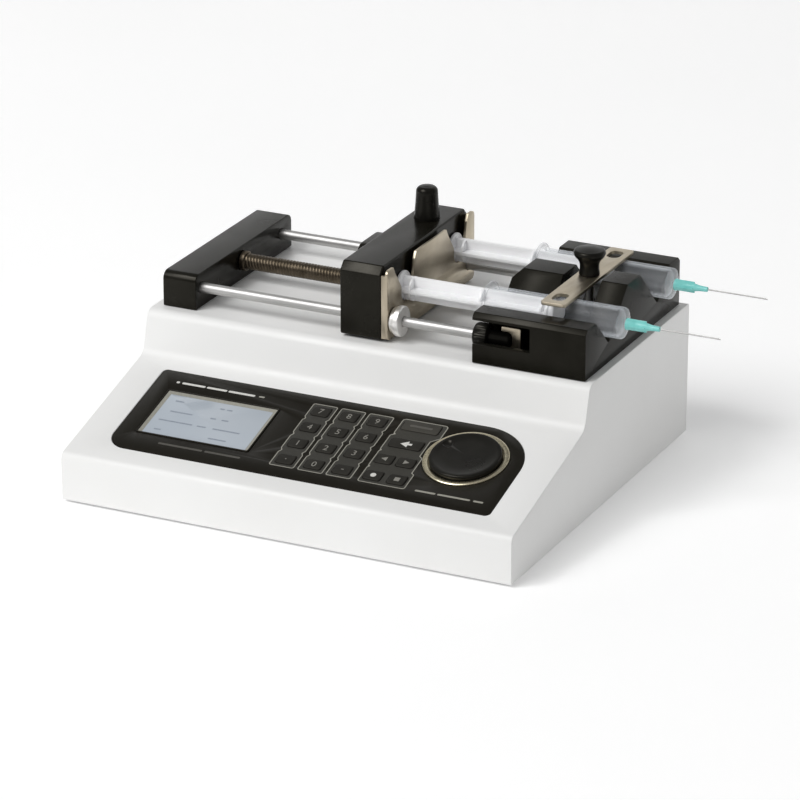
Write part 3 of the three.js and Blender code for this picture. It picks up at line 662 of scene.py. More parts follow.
piece("mains_inlet", power_entry(), "socket", HOUSING, ["power_entry"])
piece("mains_pins", inlet_pins(), "turned", HOUSING)
piece("rocker", rocker_switch(), "knob", "power_rocker", ["switch_rocker"])


# ---------------------------------------------------------------- control panel

DISPLAY = (-108, -36, 30.8, 73)
KEY_ROWS = [77, 61.8, 46.2, 30.6]
KEY_COLUMNS = [-12, 5.7, 23.3]
KEY_SIZE = (10.6, 8.2)
KEY_TOP, KEY_BOTTOM = 0.7, -4.9
KEY_CORNER = 1.4
DIAL_SPOT = (86.3, 59)
DIAL_RADIUS = 20.6
RING_INNER, RING_OUTER = 21.3, 24.5
INK = 0.04

# Every key as name: (x, s, width, legend).
LEGENDS = ["789", "456", "123", ".0-"]
KEYS = {}
for column, x in enumerate(KEY_COLUMNS):
    for row, s in enumerate(KEY_ROWS):
        KEYS[f"key_{column + 1}_{row + 1}"] = (x, s, KEY_SIZE[0], LEGENDS[row][column])
KEYS["key_wide"] = (50, KEY_ROWS[0] + 1.6, 23, "bar")
KEYS["key_arrow"] = (48.2, KEY_ROWS[1] + 0.4, 20, "arrow")
KEYS["key_4_3"] = (42.2, KEY_ROWS[2], KEY_SIZE[0], "left")
KEYS["key_5_3"] = (55.4, KEY_ROWS[2], KEY_SIZE[0], "right")
KEYS["key_4_4"] = (42.4, KEY_ROWS[3], KEY_SIZE[0], "dot")
KEYS["key_5_4"] = (57, KEY_ROWS[3], KEY_SIZE[0], "square")


def key_outline(x, s, width, grow):
    half = KEY_SIZE[1] / 2 + grow
    return rectangle(x - width / 2 - grow, x + width / 2 + grow, s - half, s + half, KEY_CORNER + grow)


def front_film():
    film = prism("z", panel_outline(0), PANEL_PROUD - PANEL_THICKNESS, PANEL_PROUD)
    holes = [prism("z", key_outline(x, s, width, GAP), -3, 3) for x, s, width, _ in KEYS.values()]
    left, right, low, high = DISPLAY
    window = prism("z", rectangle(left - GAP, right + GAP, low - GAP, high + GAP, 1.5), -3, 3)
    dial = prism("z", circle(*DIAL_SPOT, RING_OUTER + GAP, FINE), -3, 3)
    return on_panel(softened(cut(film, gathered(holes), window, dial), 0.12, 2, 50))


piece("front_film", front_film(), "film", HOUSING, ["front_overlay"])


def glyph(text, size):
    """A character's outline as a thin solid on the plane z = 0, centred."""
    curve = bpy.data.curves.new("glyph", "FONT")
    curve.body = text
    curve.size = size
    curve.extrude = INK / 2
    curve.resolution_u = 3
    writer = bpy.data.objects.new("glyph", curve)
    scene.collection.objects.link(writer)
    bpy.context.view_layer.update()
    mesh = bpy.data.meshes.new_from_object(writer)
    bpy.data.objects.remove(writer)
    solid = bpy.data.objects.new("glyph", mesh)
    scene.collection.objects.link(solid)
    xs = [v.co.x for v in mesh.vertices]
    ys = [v.co.y for v in mesh.vertices]
    middle = Vector(((min(xs) + max(xs)) / 2, (min(ys) + max(ys)) / 2, 0))
    return moved(solid, Matrix.Translation(-middle))


def sign(kind):
    """A key's mark as a thin solid on the plane z = 0."""
    shapes = {
        "bar": rectangle(-7, 7, -0.9, 0.9, 0.8, 4),
        "arrow": [(-3.4, -0.6), (1.2, -3), (1.2, -1), (3.6, -1), (3.6, 0.6), (1.2, 0.6), (1.2, 2.4)],
        "left": [(-2, 0), (1.4, -1.8), (1.4, 1.8)],
        "right": [(2, 0), (-1.4, 1.8), (-1.4, -1.8)],
        "dot": circle(0, 0, 1.7, 32),
        "square": rectangle(-1.6, 1.6, -1.6, 1.6, 0.3, 3),
    }
    if kind in shapes:
        return prism("z", shapes[kind], -INK / 2, INK / 2)
    return glyph(kind, 6.2)


def key_cap(x, s, width):
    """A rubber key with a rounded rim."""
    solid = prism("z", key_outline(x, s, width, 0), KEY_BOTTOM, KEY_TOP)
    return on_panel(softened(solid, 0.55, 4))


for name, (x, s, width, legend) in KEYS.items():
    pale = name == "key_wide"
    look = "key_pale" if pale else "key"
    body = f"{name}_cap"
    piece(f"cap_{name}", key_cap(x, s, width), look, body, [name])
    mark = moved(sign(legend), Matrix.Translation((x, s, KEY_TOP)))
    ink = "bright" if legend in ("arrow", "dot") else "dim" if pale else "legend"
    piece(f"mark_{name}", on_panel(mark), ink, body)


def ribbon(corners, width, steps=4):
    """A thin closed line of one width along an outline of (u, v, radius) corners."""
    outer = prism("z", rounded(corners, steps), 0, INK)
    moved_in = inset([corner[:2] for corner in corners], width)
    inner = [(u, v, max(r - width, 0.1)) for (u, v), (_, _, r) in zip(moved_in, corners)]
    hole = prism("z", rounded(inner, steps), -1, 1)
    return cut(outer, hole)


def column_corners(left, right, grow=0.0):
    """The waisted outline round a column of keys, narrower between its rows."""
    half, waist, gap = 5.9 + grow, 1.1, 0.9
    right_side, left_side = [], []
    for row in reversed(range(4)):
        s = KEY_ROWS[row]
        low = s - (half + 0.8 if row == 3 else half)
        high = s + (half + 0.8 if row == 0 else half)
        right_side += [(right, low, 1.4), (right, high, 1.4)]
        left_side += [(left, low, 1.4), (left, high, 1.4)]
        if row:
            turn = (KEY_ROWS[row - 1] + s) / 2
            right_side.append((right - waist, turn, gap))
            left_side.append((left + waist, turn, gap))
    return right_side + left_side[::-1]


def printed(name, solid, ink):
    piece(name, on_panel(moved(solid, Matrix.Translation((0, 0, PANEL_PROUD)))), ink, HOUSING)


outlines = [column_corners(x - 7.8, x + 7.8) for x in KEY_COLUMNS]
fourth = [(35.2, 23.8, 1.6), (64.4, 23.8, 1.6), (64.4, 37.6, 1.6), (62.6, 38.6, 1.2), (62.6, 52.6, 1.6),
          (60.4, 54.2, 1.2), (60.4, 68, 1.6), (64.8, 72, 2), (64.8, 84.4, 2.2), (36.4, 84.4, 2.2),
          (36.4, 70.6, 1.6), (37.4, 69.6, 1), (35.2, 68.4, 1.6), (35.2, 54.6, 1.6), (36.2, 53.8, 1),
          (35.2, 53, 1.4), (35.2, 38.9, 1.4), (36.2, 38.2, 1), (35.2, 37.4, 1.4)]
outlines.append(fourth)
lines = gathered([ribbon(corners, 0.55) for corners in outlines])
printed("key_outlines", lines, "outline")


def key_beds():
    """The paler print inside the outlines, between the keys."""
    beds = gathered([prism("z", rounded(corners, 4), 0, INK / 2) for corners in outlines])
    holes = [prism("z", key_outline(x, s, width, GAP + 0.1), -1, 1) for x, s, width, _ in KEYS.values()]
    return cut(beds, gathered(holes))


printed("key_beds", key_beds(), "film_pale")


def dashes(spots, s, height):
    bars = [prism("z", rectangle(a, b, s - height / 2, s + height / 2, height * 0.45, 4), 0, INK)
            for a, b in spots]
    return gathered(bars)


printed("title_line", dashes([(-106.7, -104.6), (-103, -88), (-87, -74), (-73, -56)], 80.6, 1.7), "bright")
printed("title_tail", dashes([(-53.6, -50)], 80.8, 1.3), "outline")
printed("caption_line", dashes([(-90, -62), (-60.5, -38)], 24.6, 1.6), "dim")
printed("dial_caption", dashes([(70.6, 83), (84.2, 104), (106, 112)], 24.8, 1.4), "outline")


def display_frame():
    left, right, low, high = DISPLAY
    edge = 1.1
    rim = prism("z", rectangle(left, right, low, high, 1.4), -2.6, 0.45)
    hole = prism("z", rectangle(left + edge, right - edge, low + edge, high - edge, 0.6), -0.9, 2)
    return on_panel(softened(cut(rim, hole), 0.25, 3))


def display_bezel():
    """The pale slanting frame between the rim and the display."""
    left, right, low, high = DISPLAY
    outer, inner = 1.15, 3.1
    rings = []
    for edge, depth in ((outer, 0.2), (inner, -0.55), (inner, -0.85), (outer, -0.85)):
        bottom, top = low + edge * 0.45, high - edge
        rings.append([(left + edge, bottom, depth), (right - edge, bottom, depth),
                      (right - edge, top, depth), (left + edge, top, depth)])
    return on_panel(stitched(rings, True))


def display_glass():
    left, right, low, high = DISPLAY
    sheet = prism("z", rectangle(left + 3.15, right - 3.15, low + 1.5, high - 3.15, 0.3), -0.85, -0.5)
    return on_panel(softened(sheet, 0.1, 2))


def display_text():
    """Rows of plain bars, as a screen full of values would look from afar."""
    left, right, low, high = DISPLAY
    rows = [(0.8, (0.12, 0.2), (0.52, 0.56), (0.58, 0.63)), (0.57, (0.14, 0.34), (0.5, 0.55), (0.6, 0.66)),
            (0.36, (0.1, 0.4), (0.44, 0.52), (0.58, 0.82)), (0.15, (0.12, 0.18), (0.6, 0.76))]
    bars = []
    for height, *spans in rows:
        s = low + height * (high - low)
        for a, b in spans:
            x0, x1 = left + a * (right - left), left + b * (right - left)
            bars.append(prism("z", rectangle(x0, x1, s - 0.6, s + 0.6, 0.4, 3), -0.5, -0.48))
    return on_panel(gathered(bars))


piece("display_rim", display_frame(), "film", HOUSING, ["display_window"])
piece("display_bezel", display_bezel(), "outline", HOUSING)
piece("display_glass", display_glass(), "display", HOUSING)
piece("display_bars", display_text(), "lcd_ink", HOUSING)


def dial_ring():
    profile = [(3.4, -3.1), (RING_OUTER, -3.1), (RING_OUTER, 0.5), (24.2, 0.86), (23.7, 1), (21.7, 1)]
    profile += [(RING_INNER, 0.7), (RING_INNER, -1.6), (3.4, -1.6), (3.4, -3.1)]
    return on_panel(turned("z", profile, *DIAL_SPOT, 128))


def dial():
    """The dial: a rounded rim, a faint step, a slightly hollow face and a finger dimple."""
    radius = DIAL_RADIUS
    profile = [(0, -6.5), (3, -6.5), (3, -1.2), (radius - 0.3, -1.2), (radius, -0.9), (radius, 2.3)]
    for k in range(1, 7):
        turn = math.pi / 12 * k
        profile.append((radius - 1.1 + 1.1 * math.cos(turn), 2.3 + 1.1 * math.sin(turn)))
    profile += [(radius - 2.6, 3.38), (radius - 2.9, 3.28), (radius * 0.6, 3.1), (0, 3.02)]
    cap = turned("z", profile, 0, 0, 128)
    bowl = turned("z", [(0, 2.1)] + [(5 * math.sin(t), 7.1 - 5 * math.cos(t)) for t in
                                     [math.pi / 24 * k for k in range(1, 12)]] + [(0, 7.1)], 0, 0, 48)
    cap = cut(cap, moved(bowl, Matrix.Translation((-13.6, 6.8, 0))))
    return on_panel(moved(cap, Matrix.Translation((*DIAL_SPOT, 0))))


piece("ring_of_dial", dial_ring(), "ring", HOUSING, ["dial_ring"])
piece("dial_cap", dial(), "dial", "dial", ["dial_knob"])


# ---------------------------------------------------------------- drive

def end_block():
    low, high = node_box("end_block")
    outline = rounded([(low.y, low.z, 0), (high.y, low.z, 0), (high.y, high.z, 5), (low.y, high.z, 5)], 14)
    solid = prism("x", outline, low.x, high.x)
    chamber = block(low.x + 3, high.x - 3, *BELT_ROOM, low.z - 1, high.z - 2)
    rods = [rod("x", ROD_BORE, low.x + 7, high.x + 1, r.y, r.z) for r in RODS]
    bore = rod("x", SCREW_BORE, high.x - 5, high.x + 1, SCREW.y, SCREW.z)
    return softened(cut(solid, chamber, *rods, bore), 1.1, 4, 40)


def guide_rod(node):
    low, high, middle = node_span(node)
    radius = (high.z - low.z) / 2
    profile = [(0, low.x), (radius - 0.6, low.x), (radius, low.x + 0.6), (radius, high.x - 0.6)]
    profile += [(radius - 0.6, high.x), (0, high.x)]
    return turned("x", profile, middle.y, middle.z, 64)


LEAD = 4.0
STARTS = 2


def lead_screw():
    """A two-start trapezoid thread between a collar and a plain end."""
    start, end, crest, root = -109.4, 64.6, 4.8, 4.4
    sides, step = 40, LEAD / STARTS / 8
    count = int((end - start) / step)
    rings = []
    for i in range(count + 1):
        x = start + (end - start) * i / count
        fade = min(1.0, (x - start) / 1.5, (end - x) / 1.5)
        ring = []
        for k in range(sides):
            t = 2 * math.pi * k / sides
            phase = (STARTS * (x / LEAD - k / sides)) % 1.0
            wave = min(1.0, max(0.0, (abs(phase - 0.5) - 0.14) / 0.12))
            radius = crest - (crest - root) * (1 - wave) * max(fade, 0.0)
            ring.append((x, SCREW.y + radius * math.cos(t), SCREW.z + radius * math.sin(t)))
        rings.append(ring)
    return stitched(rings)


def screw_ends():
    low, high = node_box("lead_screw")
    collar = turned("x", [(0, low.x), (3, low.x), (3, -112.6), (5.6, -112.6), (6, -112.2), (6, -109.8),
                          (5.6, -109.42), (0, -109.42)], SCREW.y, SCREW.z, 64)
    far = turned("x", [(0, 64.62), (3.6, 64.62), (3, 65.6), (3, high.x - 0.4), (2.6, high.x), (0, high.x)],
                 SCREW.y, SCREW.z, 64)
    return gathered([collar, far])


piece("end_block_cast", end_block(), "block", HOUSING, ["end_block"], 30)
for place in ("front", "back"):
    node = f"guide_rod_{place}"
    piece(f"rod_{place}", guide_rod(node), "rod", HOUSING, [node])
piece("screw_thread", lead_screw(), "screw", "screw", ["lead_screw"], 60)
piece("screw_journals", screw_ends(), "screw", "screw")


# ---------------------------------------------------------------- carriage

CARRIAGE = "carriage"
BLOCK = (-20, 6, 114.2, 231.8, 81.5, 125)


def carriage_block():
    left, right, front, back, bottom, top = BLOCK
    outline = [(front, bottom, 1.2), (back, bottom, 1.2), (back, top - 4.5, 1.5), (back - 4.5, top, 1.5)]
    outline += [(front + 4.5, top, 1.5), (front, top - 4.7, 1.5)]
    main = prism("x", rounded(outline, 6), left, right)
    hump = prism("x", rounded([(158, bottom, 1), (190, bottom, 1), (190, 119, 7), (158, 119, 7)], 10),
                 left - 11, left + 4)
    main = softened(main, 1.6, 4, 50)
    hump = softened(hump, 1.2, 4, 50)
    nut_space = block(-14, 0, 162, 212, bottom - 1, 97.5)
    rods = [rod("x", ROD_BORE, left - 1, right + 1, r.y, r.z) for r in RODS]
    bore = rod("x", 5.8, left - 12, right + 1, SCREW.y, SCREW.z)
    well = rod("z", 7.7, 111, top + 1, CLUTCH.x, CLUTCH.y)
    stem = rod("z", 3.4, 96, 112, CLUTCH.x, CLUTCH.y)
    return cut(join(main, hump), nut_space, *rods, bore, well, stem)


def bushings():
    """The bronze bushings whose ends show round the rods on the carriage's far side."""
    left = BLOCK[0]
    rings = []
    for r in RODS:
        profile = [(3.12, left - 0.8), (4.9, left - 0.8), (5.2, left - 0.5), (5.2, left + 0.2)]
        profile += [(3.12, left + 0.2), (3.12, left - 0.8)]
        rings.append(turned("x", profile, r.y, r.z, 64))
    return gathered(rings)


def clutch_knob():
    """The release knob: a slim taper and a rounded top."""
    low, high = node_box("clutch_knob")
    top = high.z
    profile = [(0, low.z), (3, low.z), (3, 122), (7.2, 122), (7.45, 122.4), (7.45, 127), (7.1, 131.6)]
    profile += [(6.8, 135), (6.6, 138.5), (6.5, 140.6)]
    for k in range(1, 9):
        turn = math.pi / 16 * k
        profile.append((3.4 + 3.05 * math.cos(turn), top - 3.7 + 3.2 * math.sin(turn)))
    profile += [(2, top - 0.2), (0, top)]
    return turned("z", profile, CLUTCH.x, CLUTCH.y)


def return_spring():
    """The coil spring under the release knob, with its ends left open."""
    low, high = node_box("clutch_spring")
    wire, coils, steps, sides = 0.5, 5, 120, 10
    radius = (high.x - low.x) / 2 - wire
    rings = []
    for i in range(steps + 1):
        turn = 2 * math.pi * coils * i / steps
        out = Vector((math.cos(turn), math.sin(turn), 0))
        middle = Vector((CLUTCH.x, CLUTCH.y, low.z + wire + (high.z - low.z - 2 * wire) * i / steps))
        middle += out * radius
        rings.append([middle + out * p.x + Vector((0, 0, p.y)) for p in circle(0, 0, wire, sides)])
    return stitched(rings)


def plunger_plate():
    """The sheet that holds the plungers' heads, folded back at its ends, with two notches."""
    low, high = node_box("plunger_plate")
    left = high.x - SHEET
    face = prism("x", rectangle(low.y, high.y, low.z, high.z, 3), left, high.x)
    folds = []
    for y in (low.y, high.y - SHEET):
        folds.append(block(low.x, left + 0.5, y, y + SHEET, low.z + 1, high.z - 3))
    notches = []
    for spot in SYRINGES.values():
        y, z = spot.y, spot.z
        corners = [(y + 7.8, z - 7.8, 7), (y + 7.8, z + 3, 2), (y + 10, high.z - 4, 3)]
        corners += [(y + 14, high.z + 3, 0), (y - 20, high.z + 3, 0), (y - 16, high.z - 4, 3)]
        corners += [(y - 7.8, z + 3, 2), (y - 7.8, z - 7.8, 7)]
        notches.append(prism("x", rounded(corners, 8), left - 1, high.x + 1))
    holes = [rod("x", radius, left - 1, high.x + 1, r.y, r.z)
             for r, radius in ((FRONT_ROD, 3.6), (SCREW, 5.6), (BACK_ROD, 3.6))]
    return softened(cut(join(face, *folds), *notches, *holes), 0.35, 2, 40)


piece("carriage_cast", carriage_block(), "block", CARRIAGE, ["carriage"], 30)
piece("carriage_bushings", bushings(), "brass", CARRIAGE)
piece("release_knob", clutch_knob(), "knob", "clutch", ["clutch_knob"])
spring = piece("return_spring", return_spring(), "turned", CARRIAGE,
               ["clutch_spring"], 60)
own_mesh(spring)
piece("plunger_sheet", plunger_plate(), "plate", CARRIAGE, ["plunger_plate"])


SET_SCREW_TURN = Matrix.Rotation(math.radians(-110), 4, "X")


def stop_collar():
    """A bright ring: a short hub and a wider disc with a rounded rim."""
    low, high, middle = node_span("stop_collar")
    radius = (high.z - low.z) / 2
    step = low.x + 2.4
    profile = [(3.3, low.x), (radius - 2, low.x), (radius - 1.5, low.x + 0.3), (radius - 1.4, low.x + 0.7)]
    profile += [(radius - 1.4, step)]
    for start, base in ((90, step + 0.8), (0, high.x - 0.8)):
        for k in range(5):
            turn = math.radians(start - 22.5 * k)
            profile.append((radius - 0.8 + 0.8 * math.cos(turn), base - 0.8 * math.sin(turn)))
    profile += [(3.3, high.x), (3.3, low.x)]
    ring = turned("x", profile, middle.y, middle.z)
    hole = moved(rod("z", 1.9, 2, radius + 2, 0, 0, 24), SET_SCREW_TURN)
    return cut(ring, moved(hole, Matrix.Translation(middle)))


def collar_screw():
    """The small set screw in the collar, with its hexagon socket."""
    middle = node_middle("stop_collar")
    body = turned("z", [(0, 5), (1.6, 5), (1.6, 8.4), (1.3, 8.7), (0, 8.7)], 0, 0, 32)
    socket = prism("z", circle(0, 0, 0.9, 6), 7.2, 9)
    screw = moved(cut(body, socket), SET_SCREW_TURN)
    return moved(screw, Matrix.Translation(middle))


piece("collar_ring", stop_collar(), "turned", "collar", ["stop_collar"])
piece("collar_set_screw", collar_screw(), "screw", "collar")


# ---------------------------------------------------------------- syringe holder

SLOT = (96, 119.5, 102)
POCKET = {"right": 101.3, "lip": 112.5, "back": 130.6, "low": 83, "sill": 91.5, "high": 105.8,
          "ceiling": 99.8}
NUT = {"left": 62, "shoulder": 71.6, "right": 84, "head": 7.2, "neck": 4.1}
GROOVE = BARREL_RADIUS + GAP


def holder_block():
    low, high = node_box("holder_block")
    left, right, front, back, bottom, ridge = low.x, high.x, low.y, high.y, low.z, high.z
    wall = 110
    first, second = SYRINGES["front"], SYRINGES["back"]
    apex = first.z - GROOVE * math.sqrt(2)
    rise, climb = wall - apex, ridge - apex
    corners = [(front, bottom, 0), (back, bottom, 0), (back, wall - 2.6, 1), (back - 2.6, wall, 1)]
    corners += [(second.y + rise, wall, 0.8), (second.y, apex, 2), (second.y - climb, ridge, 1.5)]
    corners += [(first.y + climb, ridge, 1.5), (first.y, apex, 2), (first.y - rise, wall, 0.8)]
    corners += [(front + 2.6, wall, 1), (front, wall - 2.6, 1)]
    solid = prism("x", rounded(corners, 6), left, right)
    slot = block(SLOT[0], SLOT[1], first.y, second.y, SLOT[2], ridge + 1)
    p = POCKET
    spaces = [block(left - 1, p["right"], p["lip"], p["back"], p["low"], p["ceiling"]),
              block(left - 1, p["right"], front - 1, FRONT_ROD.y, p["sill"], p["high"])]
    ridge_end = [(ridge - 6, left - 1), (ridge + 1, left - 1), (ridge + 1, left + 6)]
    ridge_end = prism("y", ridge_end, first.y, second.y)
    back_rod = rod("x", ROD_BORE, left - 1, 110, BACK_ROD.y, BACK_ROD.z)
    bore = rod("x", SCREW_BORE, left - 1, 77, SCREW.y, SCREW.z)
    post = rod("z", 3.4, 88, SLOT[2] + 1, CLAMP.x, CLAMP.y)
    return softened(cut(solid, slot, *spaces, ridge_end, back_rod, bore, post), 0.9, 3, 30)


def rod_nut():
    """The thumb nut over the rod's end: a domed, finely knurled head and a slim neck."""
    middle = node_middle("rod_nut")
    left, shoulder, right, head, neck = NUT.values()
    end = node_box("guide_rod_front")[1].x + 0.4
    profile = [(3.3, left), (head - 1.6, left), (head - 0.6, left + 0.5), (head - 0.15, left + 1.2)]
    profile += [(head, left + 2.2), (head, shoulder - 2.2), (head - 0.3, shoulder - 1.2)]
    profile += [(head - 1.1, shoulder - 0.5), (neck + 0.3, shoulder), (neck, shoulder + 0.5)]
    profile += [(neck, right - 1.2), (neck - 0.5, right - 0.3), (neck - 1.1, right), (0, right)]
    profile += [(0, end), (3.3, end), (3.3, left)]
    nut = turned("x", profile, middle.y, middle.z, 120)
    for vertex in nut.data.vertices:
        arm = Vector((0, vertex.co.y - middle.y, vertex.co.z - middle.z))
        if arm.length > head - 0.2:
            turn = math.atan2(arm.z, arm.y)
            vertex.co -= arm.normalized() * (0.16 + 0.16 * math.cos(30 * turn))
    return nut


def rod_plate():
    """The steel plate round the nut's neck, with an open notch for it."""
    low, high = node_box("rod_plate")
    middle = FRONT_ROD.z
    notch = NUT["neck"] + 0.4
    end = NUT["right"] + 0.6
    corners = [(low.z, low.x, 1), (middle - notch, low.x, 0.4), (middle - notch, end, 3)]
    corners += [(middle + notch, end, 3), (middle + notch, low.x, 0.4), (high.z, low.x, 1)]
    corners += [(high.z, high.x, 1), (low.z, high.x, 1)]
    return softened(prism("y", rounded(corners, 6), low.y, high.y), 0.3, 3)


def clamp_post():
    low, high = node_box("clamp_post")
    profile = [(0, low.z), (2.6, low.z), (2.6, 112)]
    for k in range(int((127.4 - 112) / 0.5)):
        z = 112 + 0.5 * k
        profile += [(2.98, z + 0.2), (2.62, z + 0.45)]
    profile += [(2.5, high.z - 0.4), (2.1, high.z), (0, high.z)]
    return turned("z", profile, CLAMP.x, CLAMP.y, 48)


def clamp_strip():
    low, high, middle = node_span("clamp_strip")
    bar = prism("z", rectangle(low.x, high.x, low.y, high.y, 1.8), low.z, high.z)
    hole = prism("z", circle(middle.x, CLAMP.y, 3.3), low.z - 1, high.z + 1)
    slots = []
    for start, end in ((low.y + 5, low.y + 17), (high.y - 17, high.y - 5)):
        outline = rectangle(middle.x - 4, middle.x + 4, start, end, 3.9, 10)
        slots.append(prism("z", outline, low.z - 1, high.z + 1))
    return softened(cut(bar, hole, *slots), 0.3, 3)


def clamp_knob():
    """A waisted knob with a wide domed head."""
    low, high = node_box("clamp_knob")
    base, top = low.z, high.z
    profile = [(3.3, base), (5.7, base), (6, base + 0.3), (5.9, base + 1.6), (5.6, base + 3.2)]
    profile += [(5.6, base + 6), (6, base + 7.6), (7, base + 9.3), (8.4, base + 10.7)]
    for k in range(9):
        turn = math.pi * (k / 8 * 0.5)
        profile.append((7.7 + 1.6 * math.cos(turn), top - 3.4 + 2.3 * math.sin(turn)))
    profile += [(6, top - 0.7), (3, top - 0.2), (0, top), (0, 129.4), (3.3, 129.4), (3.3, base)]
    return turned("z", profile, CLAMP.x, CLAMP.y)


piece("holder_cast", holder_block(), "holder", HOUSING, ["holder_block"], 30)
piece("thumb_nut_knurled", rod_nut(), "knob", "thumb_nut", ["rod_nut"])
piece("rod_cover", rod_plate(), "plate", HOUSING, ["rod_plate"])
piece("clamp_stud", clamp_post(), "turned", HOUSING, ["clamp_post"], 20)
piece("clamp_bar_sheet", clamp_strip(), "plate", "clamp_bar", ["clamp_strip"])
piece("clamp_mushroom", clamp_knob(), "knob", "clamp_nut", ["clamp_knob"])


# ---------------------------------------------------------------- syringes

def barrel(node):
    """A barrel with a rounded finger flange, a thick shoulder and a nozzle."""
    low, high, middle = node_span(node)
    left = low.x
    flange = (high.z - low.z) / 2
    outer, bore, nose, end = BARREL_RADIUS, BARREL_BORE, 143.0, 145.2
    profile = [(bore + 0.4, left), (flange - 0.6, left), (flange, left + 0.5), (flange, left + 1.5)]
    profile += [(flange - 0.5, left + 2), (outer + 1, left + 2.05), (outer, left + 3.2), (outer, end - 1.2)]
    profile += [(outer - 0.4, end - 0.4), (outer - 1.2, end), (2.6, end + 0.1), (2.2, end + 0.5)]
    profile += [(1.95, high.x), (0.8, high.x), (0.8, nose), (bore - 0.8, nose - 0.2), (bore, nose - 1)]
    profile += [(bore, left + 0.5), (bore + 0.4, left)]
    return turned("x", profile, middle.y, middle.z)


def barrel_scale(node):
    """Plain graduation lines round the top of the barrel."""
    middle = node_middle(node)
    ticks = []
    for k in range(21):
        x = 76 + 3 * k
        reach = 0.62 if k % 5 == 0 else 0.36
        rows = []
        for j in range(7):
            turn = math.radians(62) + reach * j / 6
            y, z = math.cos(turn), math.sin(turn)
            ring = []
            for lift, dx in ((0.02, -0.16), (0.02, 0.16), (0.06, 0.16), (0.06, -0.16)):
                r = BARREL_RADIUS + lift
                ring.append((x + dx, middle.y + r * y, middle.z + r * z))
            rows.append(ring)
        ticks.append(stitched(rows))
    return gathered(ticks)


PLUNGER_END = 98.5
PLUNGER_WEBS = (14, 58, 95.6)


def plunger(node):
    """The thumb disc and the cross-shaped rod with its round webs."""
    low, _, middle = node_span(node)
    y, z = middle.y, middle.z
    head = (low.x, low.x + 2)
    disc = turned("x", [(0, head[0]), (9.1, head[0]), (9.6, head[0] + 0.5), (9.6, head[1] - 0.5),
                        (9.1, head[1]), (0, head[1])], y, z)
    arm, web = 7.2, 1.1
    across = block(head[1] - 0.5, PLUNGER_END, y - arm, y + arm, z - web, z + web)
    upright = block(head[1] - 0.5, PLUNGER_END, y - web, y + web, z - arm, z + arm)
    rod_shape = softened(join(across, upright), 0.35, 2)
    webs = [rod("x", 7.15, x, x + 1.2, y, z, 64) for x in PLUNGER_WEBS]
    return join(disc, rod_shape, *webs)


def seal(node):
    middle = node_middle(node)
    profile = [(0, 98.6), (7.4, 98.6), (8, 99.4), (8, 100.4), (7.3, 101.2), (7.3, 103), (8, 103.8)]
    profile += [(8, 104.6), (7.4, 105.3), (3, 107.4), (0, 108)]
    return turned("x", profile, middle.y, middle.z)


def needle_hub(node):
    """The hub: a collar, a tapered body with ribs and the glued tip."""
    low, _, middle = node_span(node)
    start = low.x
    profile = [(2.5, start), (3.3, start), (3.5, start + 0.3), (3.5, start + 1.3), (3.15, start + 1.8)]
    profile += [(2.9, start + 9), (2.1, start + 13), (1.7, start + 15), (1.45, start + 20)]
    profile += [(0.55, start + 20.4), (0, start + 20.4), (0, start + 8), (2.3, start + 8), (2.5, start)]
    hub = turned("x", profile, middle.y, middle.z, 64)
    ribs = []
    for k in range(4):
        fin = block(start + 2, start + 12, middle.y + 2, middle.y + 3.3, middle.z - 0.35, middle.z + 0.35)
        about = Matrix.Translation(middle) @ Matrix.Rotation(math.pi / 2 * k, 4, "X")
        ribs.append(moved(fin, about @ Matrix.Translation(-middle)))
    return join(hub, *ribs)


def cannula(node):
    low, high, middle = node_span(node)
    start, tip, radius = low.x + 20.3, high.x, 0.42
    tube = turned("x", [(0, start), (radius, start), (radius, tip), (0, tip)], middle.y, middle.z, 24)
    for vertex in tube.data.vertices:
        if vertex.co.x > tip - 0.01:
            vertex.co.x -= (vertex.co.z - middle.z + radius) * 2.2
    return tube


for place in ("front", "back"):
    names = {kind: f"{kind}_{place}" for kind in ("barrel", "plunger", "needle")}
    piece(f"tube_{place}", barrel(names["barrel"]), "clear", HOUSING,
          [names["barrel"]])
    piece(f"scale_{place}", barrel_scale(names["barrel"]), "lcd_ink", HOUSING)
    piece(f"pusher_{place}", plunger(names["plunger"]), "plunger", CARRIAGE,
          [names["plunger"]])
    piece(f"seal_{place}", seal(names["plunger"]), "plunger", CARRIAGE)
    piece(f"hub_{place}", needle_hub(names["needle"]), "teal", HOUSING,
          [names["needle"]])
    piece(f"cannula_{place}", cannula(names["needle"]), "rod", HOUSING)


# ---------------------------------------------------------------- CAD nodes that stay

KEPT = {
    "base_plate": "zinc",
    "control_board": "board",
    "power_supply": "zinc",
    "motor_bracket": "zinc",
    "stepper_motor": "socket",
    "motor_pulley": "turned",
    "screw_pulley": "turned",
    "drive_belt": "rubber",
    "half_nut": "brass",
}
for node, look in KEPT.items():
    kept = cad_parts[node]
    kept.data.materials.clear()
    kept.data.materials.append(LOOKS[look])


# ---------------------------------------------------------------- floor, lights and camera

LIGHT_AIM = (0, 0, 0.05)
SKY_STRENGTH = 0.27


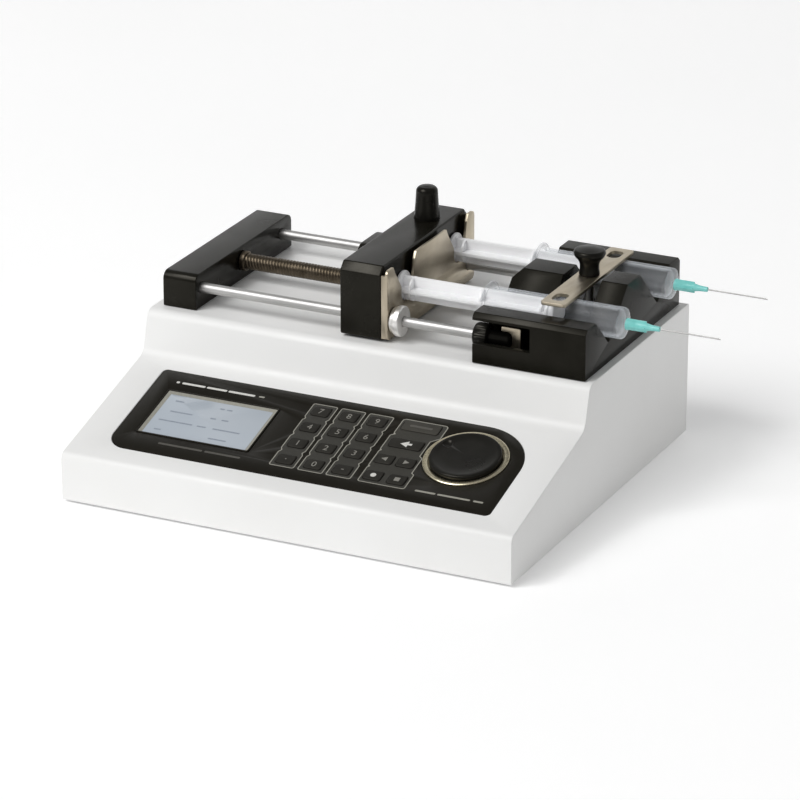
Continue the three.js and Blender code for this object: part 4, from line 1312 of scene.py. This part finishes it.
def floor():
    """A pale sweep: flat under the pump, curving up far behind it."""
    reach, back, radius = 6.0, 3.0, 1.5
    profile = [(-reach, 0), (back, 0)]
    for k in range(1, 13):
        turn = math.pi / 24 * k
        profile.append((back + radius * math.sin(turn), radius * (1 - math.cos(turn))))
    profile.append((back + radius, reach))
    mesh = bmesh.new()
    rows = [[mesh.verts.new((x, y, z)) for x in (-reach, reach)] for y, z in profile]
    for a, b in zip(rows, rows[1:]):
        mesh.faces.new((a[0], a[1], b[1], b[0]))
    sweep = made(mesh, "floor")
    look = toned("floor_paper", (3, 3, (0.92, 0.92, 0.92), (0.94, 0.94, 0.94)), 0.7,
                 Emission_Color=(1, 1, 1, 1), Emission_Strength=0.21)
    sweep.data.materials.append(look.material)
    sweep.data.shade_smooth()


def area_light(name, place, side, power):
    """A square light that faces the pump."""
    light = bpy.data.lights.new(name, "AREA")
    light.shape = "RECTANGLE"
    light.size = light.size_y = side
    light.energy = power
    lamp = bpy.data.objects.new(name, light)
    scene.collection.objects.link(lamp)
    lamp.location = place
    lamp.rotation_euler = (Vector(LIGHT_AIM) - Vector(place)).to_track_quat("-Z", "Y").to_euler()


floor()
area_light("key_light", (-1.9, -3.05, 3.9), 3.2, 168)
area_light("edge_light", (-2.12, -1.96, 4.5), 1, 32)

world = bpy.data.worlds.new("studio")
scene.world = world
world.use_nodes = True
sky = world.node_tree.nodes["Background"].inputs
sky["Color"].default_value = (1, 1, 1, 1)
sky["Strength"].default_value = SKY_STRENGTH
scene.view_settings.view_transform = "Standard"

CAMERA_LENS = 210.94
CAMERA_AZIMUTH = math.radians(25.624)
CAMERA_ELEVATION = math.radians(21.699)
CAMERA_SPOT = Vector((1.09380, -2.12844, 1.03672))

camera_data = bpy.data.cameras.new("camera")
camera_data.lens = CAMERA_LENS
camera_data.sensor_width = 36
camera = bpy.data.objects.new("camera", camera_data)
scene.collection.objects.link(camera)
camera.location = ORIGIN + CAMERA_SPOT
camera.rotation_euler = (math.pi / 2 - CAMERA_ELEVATION, 0, CAMERA_AZIMUTH)
scene.camera = camera
